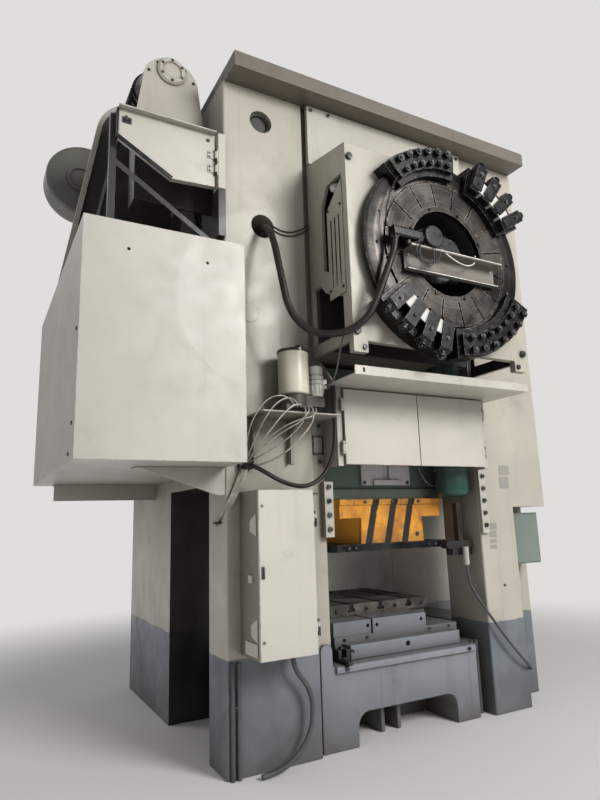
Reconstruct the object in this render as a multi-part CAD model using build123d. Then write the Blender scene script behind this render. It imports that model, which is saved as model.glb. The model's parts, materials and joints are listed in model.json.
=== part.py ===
from build123d import *
import math
import os

# Hot forging press, millimetres. X runs across the front, Y towards the back, Z up.
# The origin is the centre of the stand's base on the floor.

# Stand
STAND_WIDTH = 3320
STAND_DEPTH = 2800
STAND_HEIGHT = 5285
WINDOW_WIDTH = 1580
LEFT_LEG_DEPTH = 340
RIGHT_LEG_DEPTH = 480
REAR_LEG_FRONT = -50
SIDE_WINDOW_LOW = 720
SIDE_WINDOW_HIGH = 1960
SIDE_NICHE_DEPTH = 460
STRIP_WIDTH = 130
STRIP_STEP = 60
CORNER_CUT_WIDTH = 440
CORNER_CUT_DEPTH = 300
CORNER_CUT_HEIGHT = 1740
EDGE_ROUND = 18
FRONT_HOLE_RADIUS = 100
FRONT_HOLE_DEPTH = 300
FRONT_HOLE_X = -1320
FRONT_HOLE_LOW = 4040
FRONT_HOLE_DROP = 285
SEAT_GAP = 0.3

# Tie rods
TIE_ROD_RADIUS = 90
TIE_ROD_PLAY = 5
TIE_ROD_X = 1000
TIE_ROD_FRONT_Y = -1180
TIE_ROD_REAR_Y = 700
TIE_CAP_RADIUS = 110
TIE_CAP_HEIGHT = 60

# Crown and its cap
CROWN_LOW = 3050
CAP_OVERHANG = 210
CAP_WIDTH = 3280
CAP_HEIGHT = 140
CAP_WALL = 14
NAME_PANEL_GAP = 9
NAME_PANEL_THICKNESS = 40

# Eccentric shaft
SHAFT_Z = 3760
CRANK_THROW = 140
JOURNAL_RADIUS = 240
ECCENTRIC_RADIUS = 400
ECCENTRIC_LENGTH = 700
SHAFT_END_RADIUS = 200
STUB_RADIUS = 60
STUB_FRONT_Y = -2090
UNION_FRONT_Y = -2110
BRACKET_WIDTH = 940
BRACKET_DROP = 230
BRACKET_SHEET = 10
SHAFT_FRONT_Y = -1930
BUSH_WALL = 50
BUSH_LENGTH = 860
RUNNING_FIT = 0.05
CAVITY_WIDTH = 1400
CAVITY_LENGTH = 1040
CAVITY_TOP = 4480

# Connecting rod
ROD_LENGTH = 1150
ROD_BIG_RADIUS = 520
ROD_SMALL_RADIUS = 200
ROD_WIDTH = 600
WRIST_PIN_RADIUS = 110
WRIST_PIN_LENGTH = 680

# Ram
STROKE = 280
RAM_WIDTH = 1280
RAM_FRONT = -1100
RAM_REAR = 700
RAM_LOW = 1840
RAM_TOP = 3000
RAM_SKIRT_HEIGHT = 90
RAM_SKIRT_STEP = 30
BALANCE_GAP = 40
BALANCE_Y = -1275
BALANCE_RADIUS = 150
BALANCE_COLLAR_Z = 2080
BALANCE_COLLAR_HEIGHT = 40
POCKET_CLEARANCE = 20
GIB_LENGTH = 260
GIB_HEIGHT = 1050
GIB_LOW = 1950
COVER_PLATE_WIDTH = 530
COVER_PLATE_LOW = 1962
COVER_PLATE_HEIGHT = 230
COVER_SLOT_WIDTH = 66

# Upper die holder
HOLDER_WIDTH = 1090
HOLDER_FOOT_WIDTH = 680
HOLDER_FRONT = -1150
HOLDER_REAR = 500
HOLDER_HEIGHT = 375
HOLDER_FLANGE = 160
HOLDER_BAND = 50
HOLDER_BAND_STEP = 12
STRIPE_CENTRES = (-215, -15, 170)
STRIPE_WIDTH = 66
STRIPE_LEAN = 95
STRIPE_DEPTH = 6
DIE_PLATE_HEIGHT = 60
DIE_PLATE_WIDTH = 1240
EJECTOR_RADIUS = 45

# Bed and table
BED_TOP = 590
BED_FRONT = -1360
BED_EAR_LEFT = -895
BED_EAR_HEIGHT = 750
BED_BODY_FRONT = -1250
BED_FACE_RIGHT = 650
BED_LEDGE_HEIGHT = 50
BED_LEDGE_STEP = 26
ARCH_CENTRE = -90
ARCH_WIDTH = 980
ARCH_HEIGHT = 235
ARCH_CORNER = 100
ARCH_DEPTH = 420
ARCH_RIB = 36
WEDGE_WIDTH = 1130
WEDGE_FRONT = -1265
WEDGE_REAR = 420
WEDGE_HEIGHT = 110
WEDGE_SLOPE = 0.05
WEDGE_TRAVEL = 60
TABLE_WIDTH = 1280
TABLE_FRONT = -1150
TABLE_REAR = 560
TABLE_SLAB_TOP = 745
TABLE_BLOCK_TOP = 860
TABLE_TOP = 950
TABLE_TOP_WIDTH = 1040
TABLE_TOP_FRONT = -900
TABLE_TOP_REAR = 100
T_SLOT_PITCH = 310
T_SLOT_NECK = 44
T_SLOT_FOOT = 78
LOWER_EJECTOR_RADIUS = 40
EJECTOR_FLOOR = 260

# Brake housing
HOUSING_WIDTH = 1780
HOUSING_DEPTH = 600
HOUSING_LOW = 2960
HOUSING_FRONT_TOP = 4570
HOUSING_BACK_TOP = 4700
HOUSING_WALL = 36
HOUSING_PLATE = 60
HOUSING_BORE = 520
HOUSING_TAB = 90
LOUVRE_THICKNESS = 10
LOUVRE_SLOTS = 3

# Brake
BRAKE_RADIUS = 800
BRAKE_DISC_FRONT = -2085
BRAKE_DISC_THICKNESS = 55
BRAKE_FACE_RADIUS = 615
BRAKE_BORE_RADIUS = 365
BRAKE_HUB_RADIUS = 290
BRAKE_SECTORS = 16
BLOCK_CALIPERS = ((48, 46), (238, 48))
STUD_CALIPERS = ((109, 52), (302, 66))
CALIPER_INNER = 600
CALIPER_OUTER = 880
CALIPER_PLATE = 40
CALIPER_AIR = 3
BLOCK_ANGLE = 12
STUD_ANGLE = 9
FINGER_HEIGHT = 90

# Shelf, front doors and their posts
SHELF_LOW = 2700
SHELF_LIP = 70
SHELF_SHEET = 12
SHELF_FRONT = -2000
DOOR_LOW = 2090
DOOR_HEIGHT = 600
DOOR_WIDTH = 730
DOOR_FRONT = -1590
DOOR_SHEET = 20
DOOR_GAP = 8
DOOR_HINGE_X = 752
DOOR_HINGE_Y = -1586
DOOR_HINGE_HEIGHTS = (2190, 2530)
DOOR_POST_SHEET = 8
HINGE_RADIUS = 14
HINGE_PIN_RADIUS = 6

# Flywheel, gears and motor
GEAR_MODULE = 32
GEAR_TEETH = 100
PINION_TEETH = 34
GEAR_FACE = 300
GEAR_FRONT = 1470
BACKLASH = 14
GEAR_SLEEVE_RADIUS = 330
COUNTERSHAFT_X = -1950
COUNTERSHAFT_RADIUS = 90
FLYWHEEL_RADIUS = 750
FLYWHEEL_FRONT = -800
FLYWHEEL_WIDTH = 450
PULLEY_RADIUS = 230
PULLEY_X = -2010
PULLEY_Z = 5445
PULLEY_SHAFT_RADIUS = 50
BELT_COUNT = 5
BELT_THICKNESS = 24
BELT_WIDTH = 46
BELT_PITCH = 80
BELT_LIFT = 0.3
MOTOR_RADIUS = 325
MOTOR_FRONT = 150
MOTOR_LENGTH = 1000
BLOWER_X = -2345
BLOWER_Z = 5590
BLOWER_RADIUS = 430
BLOWER_LENGTH = 300

# Flywheel box and guards
BOX_WIDTH = 1100
BOX_FRONT = -1780
BOX_REAR = 700
BOX_LOW = 2070
BOX_HEIGHT = 1570
BOX_SHEET = 10
GUARD_FRONT_Y = -1110
GUARD_REAR_Y = 60
GUARD_SHEET = 20
GUARD_RIM_RADIUS = 420
GUARD_LEFT = -2300
GUARD_LOW = 4200
GUARD_SHOULDER_Z = 4970
GUARD_CROWN_Z = 5330
GUARD_CROWN_RADIUS = 236
FLAP_LEFT = -2500
FLAP_RIGHT = -1745
FLAP_TOP = 4720
FLAP_SHEET = 8
FLAP_CORNER_X = -2090
FLAP_CORNER_Z = 4250
FLAP_LEFT_FOOT_Z = 4490
FLAP_RIGHT_FOOT_Z = 4270

# Sensor sleeve beside the die holder
SLEEVE_X = 668
SLEEVE_Y = -1316

# Cabinet, control box and lubrication unit
CABINET_LEFT = -1551
CABINET_WIDTH = 431
CABINET_DEPTH = 330
CABINET_LOW = 780
CABINET_HEIGHT = 1110
CABINET_SHEET = 8
CONTROL_LEFT = 1240
CONTROL_WIDTH = 360
CONTROL_LOW = 1215
CONTROL_HEIGHT = 470
CONTROL_DEPTH = 240
PLATFORM_OFFSET = 610
PLATFORM_WIDTH = 640
PLATFORM_Z = 2440
PLATFORM_DEPTH = 330
RESERVOIR_OFFSET = 278
RESERVOIR_Y = -1570
RESERVOIR_RADIUS = 118
RESERVOIR_HEIGHT = 330
PUMP_HEIGHT = 150
PUMP_MOTOR_OFFSET = 82
PUMP_MOTOR_RADIUS = 52

# Derived places
FRONT_HOLE_HEIGHTS = (FRONT_HOLE_LOW, STAND_HEIGHT - FRONT_HOLE_DROP)
HALF = STAND_WIDTH / 2
INNER = WINDOW_WIDTH / 2
FRONT = -STAND_DEPTH / 2
REAR = STAND_DEPTH / 2
CENTRE_DISTANCE = GEAR_MODULE * (GEAR_TEETH + PINION_TEETH) / 2
COUNTERSHAFT_Z = SHAFT_Z - math.sqrt(CENTRE_DISTANCE ** 2 - COUNTERSHAFT_X ** 2)
HOUSING_FRONT = FRONT - HOUSING_DEPTH
CALIPER_FACE = BRAKE_DISC_FRONT - 10 - CALIPER_AIR - CALIPER_PLATE
BALANCE_X = INNER - BALANCE_GAP - BALANCE_RADIUS
PLATFORM_LEFT = -HOUSING_WIDTH / 2 - PLATFORM_OFFSET
RESERVOIR_X = -HOUSING_WIDTH / 2 - RESERVOIR_OFFSET
PUMP_MOTOR_X = -HOUSING_WIDTH / 2 - PUMP_MOTOR_OFFSET
GEAR_PHASE = math.atan2(COUNTERSHAFT_Z - SHAFT_Z, COUNTERSHAFT_X)
PINION_PHASE = GEAR_PHASE + math.pi + math.pi / PINION_TEETH
GEAR_BACK = GEAR_FRONT + GEAR_FACE
FLYWHEEL_BACK = FLYWHEEL_FRONT + FLYWHEEL_WIDTH
HOLDER_LOW = RAM_LOW - HOLDER_HEIGHT
BORE_RADIUS = JOURNAL_RADIUS + RUNNING_FIT + BUSH_WALL
ECCENTRIC_Z = SHAFT_Z + CRANK_THROW
WRIST_Z = ECCENTRIC_Z - ROD_LENGTH
POCKET_FLOOR = WRIST_Z - ROD_SMALL_RADIUS - STROKE - POCKET_CLEARANCE
FLAP_HINGE_X = FLAP_RIGHT + 8
FLAP_HINGE_Y = FRONT - 46
FLAP_HINGE_HEIGHTS = (4385, 4505)
CABINET_HINGE_X = CABINET_LEFT + CABINET_WIDTH + 12
CABINET_HINGE_Y = FRONT - CABINET_DEPTH + 4
CABINET_HINGE_HEIGHTS = (CABINET_LOW + 150, CABINET_LOW + 880)


def block(x, y, z):
    """Block between two corners, each axis given as (low, high)."""
    centre = ((x[0] + x[1]) / 2, (y[0] + y[1]) / 2, (z[0] + z[1]) / 2)
    return Pos(*centre) * Box(x[1] - x[0], y[1] - y[0], z[1] - z[0])


def rod_y(x, z, radius, y):
    """Cylinder along Y between y[0] and y[1]."""
    return Pos(x, (y[0] + y[1]) / 2, z) * Rot(90, 0, 0) * Cylinder(radius, y[1] - y[0])


def rod_z(x, y, radius, z):
    """Upright cylinder between z[0] and z[1]."""
    return Pos(x, y, (z[0] + z[1]) / 2) * Cylinder(radius, z[1] - z[0])


def rod_x(y, z, radius, x):
    """Cylinder along X between x[0] and x[1]."""
    return Pos((x[0] + x[1]) / 2, y, z) * Rot(0, 90, 0) * Cylinder(radius, x[1] - x[0])


def plate_y(points, y):
    """Plate with an outline in X and Z, filling y[0] to y[1]."""
    face = make_face(Polyline(*[(px, y[0], pz) for px, pz in points], close=True))
    return extrude(face, amount=y[1] - y[0], dir=(0, 1, 0))


def plate_x(points, x):
    """Plate with an outline in Y and Z, filling x[0] to x[1]."""
    face = make_face(Polyline(*[(x[0], py, pz) for py, pz in points], close=True))
    return extrude(face, amount=x[1] - x[0], dir=(1, 0, 0))


def plate_z(points, z):
    """Plate with an outline in X and Y, filling z[0] to z[1]."""
    face = make_face(Polyline(*[(px, py, z[0]) for px, py in points], close=True))
    return extrude(face, amount=z[1] - z[0], dir=(0, 0, 1))


def turned_y(profile, x, z):
    """Solid turned about an axis along Y; the profile is radius against y."""
    face = make_face(Polyline(*[(radius, y, 0) for radius, y in profile], close=True))
    return Pos(x, 0, z) * revolve(face, Axis.Y)


def sheet_box(x, y, z, wall, open_side):
    """Folded sheet box with one side left open."""
    inner = {"x": [x[0] + wall, x[1] - wall], "y": [y[0] + wall, y[1] - wall],
             "z": [z[0] + wall, z[1] - wall]}
    axis, end = open_side
    inner[axis][end] += (wall + 1) * (1 if end else -1)
    return block(x, y, z) - block(tuple(inner["x"]), tuple(inner["y"]), tuple(inner["z"]))


def fused(pieces):
    """One solid from pieces that meet."""
    total = pieces[0]
    for piece in pieces[1:]:
        total = total + piece
    return total


def group(pieces):
    """Separate solids kept together in one node."""
    return Compound(children=[solid for piece in pieces for solid in piece.solids()])


def hex_bolt_y(x, z, size, y, depth):
    """Hexagon head on a face that looks towards the front at y."""
    head = extrude(Rot(90, 0, 0) * RegularPolygon(size, 6), amount=depth)
    return Pos(x, y, z) * head


# Stand
def left_upright():
    outer, inner = -HALF, -INNER
    step = inner - STRIP_WIDTH
    plan = [(outer, FRONT), (step, FRONT), (step, FRONT + STRIP_STEP), (inner, FRONT + STRIP_STEP)]
    plan += [(inner, REAR), (outer, REAR)]
    body = plate_z(plan, (0, STAND_HEIGHT))
    edges = [e for e in body.edges().filter_by(Axis.Z) if e.center().X < step + 1]
    body = fillet(edges, EDGE_ROUND)
    leg = FRONT + LEFT_LEG_DEPTH
    body -= block((outer - 1, inner + 1), (leg, REAR_LEG_FRONT), (SIDE_WINDOW_LOW, SIDE_WINDOW_HIGH))
    body -= block((outer - 1, outer + SIDE_NICHE_DEPTH), (leg, REAR_LEG_FRONT), (-1, SIDE_WINDOW_LOW + 1))
    for height in FRONT_HOLE_HEIGHTS:
        body -= rod_y(FRONT_HOLE_X, height, FRONT_HOLE_RADIUS, (FRONT - 1, FRONT + FRONT_HOLE_DEPTH))
    body -= belt_recess()
    for y in (TIE_ROD_FRONT_Y, TIE_ROD_REAR_Y):
        body -= rod_z(-TIE_ROD_X, y, TIE_ROD_RADIUS + TIE_ROD_PLAY, (-1, STAND_HEIGHT + 1))
    return body


def belt_recess():
    """Space in the left upright for the flywheel and the belts that rise from it."""
    low = COUNTERSHAFT_Z - FLYWHEEL_RADIUS - 40
    deep = COUNTERSHAFT_X + FLYWHEEL_RADIUS + 50
    outline = [(-HALF - 1, low), (deep, low), (deep, COUNTERSHAFT_Z + FLYWHEEL_RADIUS / 2)]
    outline += [(-HALF - 1, PULLEY_Z - PULLEY_RADIUS)]
    return plate_y(outline, (FLYWHEEL_FRONT - 80, FLYWHEEL_BACK + 80))


def right_upright():
    outer, inner = HALF, INNER
    body = block((inner, outer), (FRONT, REAR), (0, STAND_HEIGHT))
    body = fillet(body.edges().filter_by(Axis.Z), EDGE_ROUND)
    leg = FRONT + RIGHT_LEG_DEPTH
    body -= block((inner - 1, outer + 1), (leg, REAR_LEG_FRONT), (SIDE_WINDOW_LOW, SIDE_WINDOW_HIGH))
    body -= block((outer - SIDE_NICHE_DEPTH, outer + 1), (leg, REAR_LEG_FRONT), (-1, SIDE_WINDOW_LOW + 1))
    corner = FRONT + CORNER_CUT_DEPTH
    body -= block((outer - CORNER_CUT_WIDTH, outer + 1), (FRONT - 1, corner), (-1, CORNER_CUT_HEIGHT))
    for y in (TIE_ROD_FRONT_Y, TIE_ROD_REAR_Y):
        body -= rod_z(TIE_ROD_X, y, TIE_ROD_RADIUS + TIE_ROD_PLAY, (-1, STAND_HEIGHT + 1))
    return body


def bed_block():
    body = block((-INNER, INNER), (BED_BODY_FRONT, REAR - 100), (0, BED_TOP))
    face = block((-INNER, BED_FACE_RIGHT), (BED_FRONT, BED_BODY_FRONT), (0, BED_TOP))
    ear = block((BED_EAR_LEFT, -INNER), (BED_FRONT, FRONT + STRIP_STEP), (0, BED_EAR_HEIGHT))
    ear = fillet(ear.edges().filter_by(Axis.Y).group_by(Axis.Z)[-1], 50)
    ledge_low = BED_TOP - BED_LEDGE_HEIGHT
    lip = block((-INNER + 20, BED_FACE_RIGHT - 20), (BED_FRONT - BED_LEDGE_STEP, BED_FRONT),
                (ledge_low, BED_TOP))
    lip = chamfer(lip.edges().filter_by(Axis.X).group_by(Axis.Y)[0].sort_by(Axis.Z)[-1], 14)
    body = body + face + lip + ear
    arch = block((ARCH_CENTRE - ARCH_WIDTH / 2, ARCH_CENTRE + ARCH_WIDTH / 2),
                 (BED_FRONT - 1, BED_FRONT + ARCH_DEPTH), (-ARCH_CORNER, ARCH_HEIGHT))
    arch = fillet(arch.edges().filter_by(Axis.Y).group_by(Axis.Z)[-1], ARCH_CORNER)
    body -= arch
    for offset in (-150, 10):
        rib_x = ARCH_CENTRE + offset
        body += block((rib_x - ARCH_RIB / 2, rib_x + ARCH_RIB / 2),
                      (BED_BODY_FRONT + 60, BED_FRONT + ARCH_DEPTH + 1), (0, ARCH_HEIGHT + 1))
    body -= rod_z(0, 0, LOWER_EJECTOR_RADIUS + RUNNING_FIT, (EJECTOR_FLOOR, BED_TOP + 1))
    return body


def bed():
    """Bed with the bolted clamp that holds the wedge's front end."""
    return group([bed_block(), wedge_clamp()])


def crown():
    body = block((-INNER, INNER), (FRONT, REAR), (CROWN_LOW, STAND_HEIGHT))
    half_cavity = CAVITY_WIDTH / 2
    cavity = block((-half_cavity, half_cavity), (-CAVITY_LENGTH / 2, CAVITY_LENGTH / 2),
                   (CROWN_LOW - 1, CAVITY_TOP))
    cavity = fillet(cavity.edges().filter_by(Axis.Y).group_by(Axis.Z)[-1], 180)
    body -= cavity
    body -= rod_y(0, SHAFT_Z, BORE_RADIUS, (FRONT - 1, REAR + 1))
    return body


def crown_cap():
    half = CAP_WIDTH / 2
    low = STAND_HEIGHT
    cap = block((-half, half), (FRONT - CAP_OVERHANG, REAR), (low, low + CAP_HEIGHT))
    cap = chamfer(cap.edges().group_by(Axis.Z)[-1], 8)
    hollow = block((-half + CAP_WALL, half - CAP_WALL), (FRONT + 60, REAR - CAP_WALL),
                   (low - 1, low + CAP_HEIGHT - CAP_WALL))
    return group([cap - hollow] + tie_caps())


def tie_rods():
    rods = []
    for x in (-TIE_ROD_X, TIE_ROD_X):
        for y in (TIE_ROD_FRONT_Y, TIE_ROD_REAR_Y):
            shank = rod_z(x, y, TIE_ROD_RADIUS, (20, STAND_HEIGHT + 20))
            nut = rod_z(x, y, TIE_ROD_RADIUS + 40, (STAND_HEIGHT, STAND_HEIGHT + 90))
            rods.append(shank + nut)
    return group(rods)


def tie_caps():
    top = STAND_HEIGHT + CAP_HEIGHT
    caps = []
    for x in (-TIE_ROD_X, TIE_ROD_X):
        for y in (TIE_ROD_FRONT_Y, TIE_ROD_REAR_Y):
            dome = rod_z(x, y, TIE_CAP_RADIUS, (top, top + TIE_CAP_HEIGHT))
            caps.append(fillet(dome.edges().group_by(Axis.Z)[-1], 20))
    return caps


def name_panel():
    half = HOUSING_WIDTH / 2
    y = (FRONT - NAME_PANEL_THICKNESS, FRONT)
    panel = block((-half, half), y, (HOUSING_BACK_TOP + NAME_PANEL_GAP, STAND_HEIGHT - 4))
    return fillet(panel.edges().filter_by(Axis.Y), 12)


def panel_bolts():
    face = FRONT - NAME_PANEL_THICKNESS
    half = HOUSING_WIDTH / 2
    places = [-half + 40, -half + 220, half - 220, half - 40]
    return [hex_bolt_y(x, STAND_HEIGHT - 45, 16, face, 14) for x in places]


def hole_plug():
    """Ringed plug that closes the upper hole in the left upright."""
    height = FRONT_HOLE_HEIGHTS[1]
    seat = FRONT + 60
    plug = turned_y([(0, seat), (0, seat + 20), (FRONT_HOLE_RADIUS - SEAT_GAP, seat + 20),
                     (FRONT_HOLE_RADIUS - SEAT_GAP, seat - 26), (FRONT_HOLE_RADIUS - 18, seat - 26),
                     (FRONT_HOLE_RADIUS - 26, seat)], FRONT_HOLE_X, height)
    return plug


def stand_covers():
    """Hole plug, thin round cover and sight plate on the left upright."""
    return [hole_plug(), rod_y(-1450, 3280, 75, (FRONT - 5, FRONT)), sight_plate()]


# Main drive
def shaft_bushes():
    profile = [(JOURNAL_RADIUS + RUNNING_FIT, 0), (BORE_RADIUS - RUNNING_FIT, 0),
               (BORE_RADIUS - RUNNING_FIT, BUSH_LENGTH), (JOURNAL_RADIUS + RUNNING_FIT, BUSH_LENGTH)]
    front = Pos(0, FRONT, 0) * turned_y(profile, 0, SHAFT_Z)
    rear = Pos(0, REAR - BUSH_LENGTH, 0) * turned_y(profile, 0, SHAFT_Z)
    return group([front, rear, gear_sleeve()])


def eccentric_shaft():
    half = ECCENTRIC_LENGTH / 2
    clutch = GEAR_BACK + 30
    shaft = turned_y([(0, STUB_FRONT_Y), (STUB_RADIUS, STUB_FRONT_Y), (STUB_RADIUS, SHAFT_FRONT_Y),
                      (SHAFT_END_RADIUS, SHAFT_FRONT_Y), (SHAFT_END_RADIUS, FRONT - 20),
                      (JOURNAL_RADIUS, FRONT - 20),
                      (JOURNAL_RADIUS, REAR - 20), (SHAFT_END_RADIUS, REAR - 20),
                      (SHAFT_END_RADIUS, clutch),
                      (760, clutch), (760, clutch + 34), (420, clutch + 34), (330, clutch + 100),
                      (0, clutch + 100)],
                     0, SHAFT_Z)
    return shaft + rod_y(0, ECCENTRIC_Z, ECCENTRIC_RADIUS, (-half, half))


def connecting_rod():
    half = ROD_WIDTH / 2
    big = rod_y(0, ECCENTRIC_Z, ROD_BIG_RADIUS, (-half, half))
    small = rod_y(0, WRIST_Z, ROD_SMALL_RADIUS, (-half, half))
    shank = plate_y([(-360, ECCENTRIC_Z - 300), (-150, WRIST_Z), (150, WRIST_Z),
                     (360, ECCENTRIC_Z - 300)], (-half, half))
    rod = big + small + shank
    rod -= rod_y(0, ECCENTRIC_Z, ECCENTRIC_RADIUS + RUNNING_FIT, (-half - 1, half + 1))
    return rod - rod_y(0, WRIST_Z, WRIST_PIN_RADIUS, (-half - 1, half + 1))


def wrist_pin():
    half = WRIST_PIN_LENGTH / 2
    return rod_y(0, WRIST_Z, WRIST_PIN_RADIUS - RUNNING_FIT, (-half, half))


def gear(teeth, x, z, bore, phase, web):
    """Spur gear about an axis along Y with straight-flanked teeth."""
    pitch_radius = GEAR_MODULE * teeth / 2
    tip = pitch_radius + GEAR_MODULE
    root = pitch_radius - 1.25 * GEAR_MODULE
    tooth = (math.pi * GEAR_MODULE / 2 - BACKLASH / 2) / pitch_radius
    points = []
    for index in range(teeth):
        middle = phase + 2 * math.pi * index / teeth
        for radius, share in ((root, -0.74), (tip, -0.26), (tip, 0.26), (root, 0.74)):
            angle = middle + share * tooth
            points.append((x + radius * math.cos(angle), z + radius * math.sin(angle)))
    body = plate_y(points, (GEAR_FRONT, GEAR_BACK))
    body -= rod_y(x, z, bore, (GEAR_FRONT - 1, GEAR_BACK + 1))
    if web:
        for side in (GEAR_FRONT - 1, GEAR_BACK - web):
            dish = rod_y(x, z, root - 140, (side, side + web + 1)) - rod_y(x, z, bore + 220,
                                                                           (side - 1, side + web + 2))
            body -= dish
    return body


def bull_gear():
    hole_ring = 1000
    body = gear(GEAR_TEETH, 0, SHAFT_Z, GEAR_SLEEVE_RADIUS + RUNNING_FIT, GEAR_PHASE, 90)
    for index in range(8):
        angle = math.pi * index / 4
        x, z = hole_ring * math.cos(angle), SHAFT_Z + hole_ring * math.sin(angle)
        body -= rod_y(x, z, 190, (GEAR_FRONT - 1, GEAR_BACK + 1))
    return body



def gear_sleeve():
    """Fixed sleeve on the back of the crown that carries the free-running gear."""
    end = GEAR_BACK + 8
    return turned_y([(SHAFT_END_RADIUS + 12, REAR), (GEAR_SLEEVE_RADIUS + 90, REAR),
                     (GEAR_SLEEVE_RADIUS + 90, REAR + 50),
                     (GEAR_SLEEVE_RADIUS, REAR + 50), (GEAR_SLEEVE_RADIUS, end),
                     (SHAFT_END_RADIUS + 12, end)], 0, SHAFT_Z)


def pinion_shaft():
    """Countershaft with the drive pinion cut on its rear end."""
    pinion = gear(PINION_TEETH, COUNTERSHAFT_X, COUNTERSHAFT_Z, COUNTERSHAFT_RADIUS - 10, PINION_PHASE, 0)
    return pinion + rod_y(COUNTERSHAFT_X, COUNTERSHAFT_Z, COUNTERSHAFT_RADIUS, (-1090, GEAR_BACK + 30))


def flywheel():
    middle = (FLYWHEEL_FRONT + FLYWHEEL_BACK) / 2
    rim = FLYWHEEL_RADIUS - 170
    profile = [(COUNTERSHAFT_RADIUS, FLYWHEEL_FRONT + 40), (190, FLYWHEEL_FRONT + 40), (230, middle - 60),
               (rim, middle - 60),
               (rim, FLYWHEEL_FRONT), (FLYWHEEL_RADIUS, FLYWHEEL_FRONT), (FLYWHEEL_RADIUS, FLYWHEEL_BACK),
               (rim, FLYWHEEL_BACK),
               (rim, middle + 60), (230, middle + 60), (190, FLYWHEEL_BACK - 40),
               (COUNTERSHAFT_RADIUS, FLYWHEEL_BACK - 40)]
    return turned_y(profile, COUNTERSHAFT_X, COUNTERSHAFT_Z)


def bearing_pedestals():
    """Split bearing blocks that carry the countershaft on the side of the stand."""
    pedestals = []
    for y in (-1060, -180, 1230):
        length = 140
        low, high = COUNTERSHAFT_Z - 240, COUNTERSHAFT_Z + 240
        arm = plate_y([(-HALF, low), (COUNTERSHAFT_X, COUNTERSHAFT_Z - 190),
                       (COUNTERSHAFT_X, COUNTERSHAFT_Z + 190), (-HALF, high)],
                      (y, y + length))
        ring = rod_y(COUNTERSHAFT_X, COUNTERSHAFT_Z, 190, (y, y + length))
        bore = rod_y(COUNTERSHAFT_X, COUNTERSHAFT_Z, COUNTERSHAFT_RADIUS + RUNNING_FIT,
                     (y - 1, y + length + 1))
        pedestals.append(arm + ring - bore)
    return pedestals


def motor_pulley():
    middle = (FLYWHEEL_FRONT + FLYWHEEL_BACK) / 2
    wheel = turned_y([(PULLEY_SHAFT_RADIUS, FLYWHEEL_FRONT + 60), (95, FLYWHEEL_FRONT + 60),
                      (95, middle - 30), (180, middle - 30),
                     (180, FLYWHEEL_FRONT), (PULLEY_RADIUS, FLYWHEEL_FRONT),
                      (PULLEY_RADIUS, FLYWHEEL_BACK), (180, FLYWHEEL_BACK),
                     (180, middle + 30), (95, middle + 30), (95, FLYWHEEL_BACK - 60),
                      (PULLEY_SHAFT_RADIUS, FLYWHEEL_BACK - 60)],
                     PULLEY_X, PULLEY_Z)
    return wheel + rod_y(PULLEY_X, PULLEY_Z, PULLEY_SHAFT_RADIUS, (GUARD_FRONT_Y + 30, MOTOR_FRONT + 9.7))


def drive_belts():
    """Flat-sided endless belts round the motor pulley and the flywheel."""
    first = FLYWHEEL_FRONT + (FLYWHEEL_WIDTH - BELT_PITCH * (BELT_COUNT - 1)) / 2
    belts = []
    for index in range(BELT_COUNT):
        y = first + BELT_PITCH * index
        outlines = []
        for lift in (BELT_LIFT + BELT_THICKNESS, BELT_LIFT):
            upper = Pos(PULLEY_X, PULLEY_Z) * Circle(PULLEY_RADIUS + lift)
            lower = Pos(COUNTERSHAFT_X, COUNTERSHAFT_Z) * Circle(FLYWHEEL_RADIUS + lift)
            outlines.append(make_hull([*upper.edges(), *lower.edges()]))
        band = outlines[0] - outlines[1]
        loop = extrude(band, amount=BELT_WIDTH)
        belts.append(Pos(0, y + BELT_WIDTH / 2, 0) * Rot(90, 0, 0) * loop)
    return group(belts)


def main_motor():
    back = MOTOR_FRONT + MOTOR_LENGTH
    frame = turned_y([(70, MOTOR_FRONT + 10), (120, MOTOR_FRONT), (200, MOTOR_FRONT + 30),
                      (MOTOR_RADIUS, MOTOR_FRONT + 60),
                      (MOTOR_RADIUS, MOTOR_FRONT + 110), (MOTOR_RADIUS - 22, MOTOR_FRONT + 110),
                      (MOTOR_RADIUS - 22, back - 110),
                      (MOTOR_RADIUS, back - 110), (MOTOR_RADIUS, back - 60), (200, back), (0, back),
                      (0, MOTOR_FRONT + 10)],
                     PULLEY_X, PULLEY_Z)
    foot_low = PULLEY_Z - MOTOR_RADIUS - 50
    for y in (MOTOR_FRONT + 120, back - 240):
        frame += block((PULLEY_X - 260, PULLEY_X + 260), (y, y + 120), (foot_low, PULLEY_Z - 200))
    fins = []
    for index in range(24):
        angle = math.radians(15 * index)
        fin = block((MOTOR_RADIUS - 40, MOTOR_RADIUS - 2), (MOTOR_FRONT + 112, back - 112), (-4, 4))
        fins.append(Pos(PULLEY_X, 0, PULLEY_Z) * Rot(0, -math.degrees(angle), 0) * fin)
    return fused([frame] + fins)


def side_brackets():
    """Motor deck and shaft pedestals bolted to the left of the stand."""
    return group([motor_bracket()] + bearing_pedestals())


def motor_bracket():
    top = PULLEY_Z - MOTOR_RADIUS - 50
    left = PULLEY_X - 300
    deck = block((left, -HALF), (MOTOR_FRONT + 60, MOTOR_FRONT + MOTOR_LENGTH - 60), (top - 30, top))
    pieces = [deck]
    for y in (MOTOR_FRONT + 80, MOTOR_FRONT + MOTOR_LENGTH - 110):
        pieces.append(plate_y([(left + 20, top - 30), (-HALF, top - 30), (-HALF, top - 520),
                               (-HALF - 120, top - 520)], (y, y + 30)))
    return fused(pieces)


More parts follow.
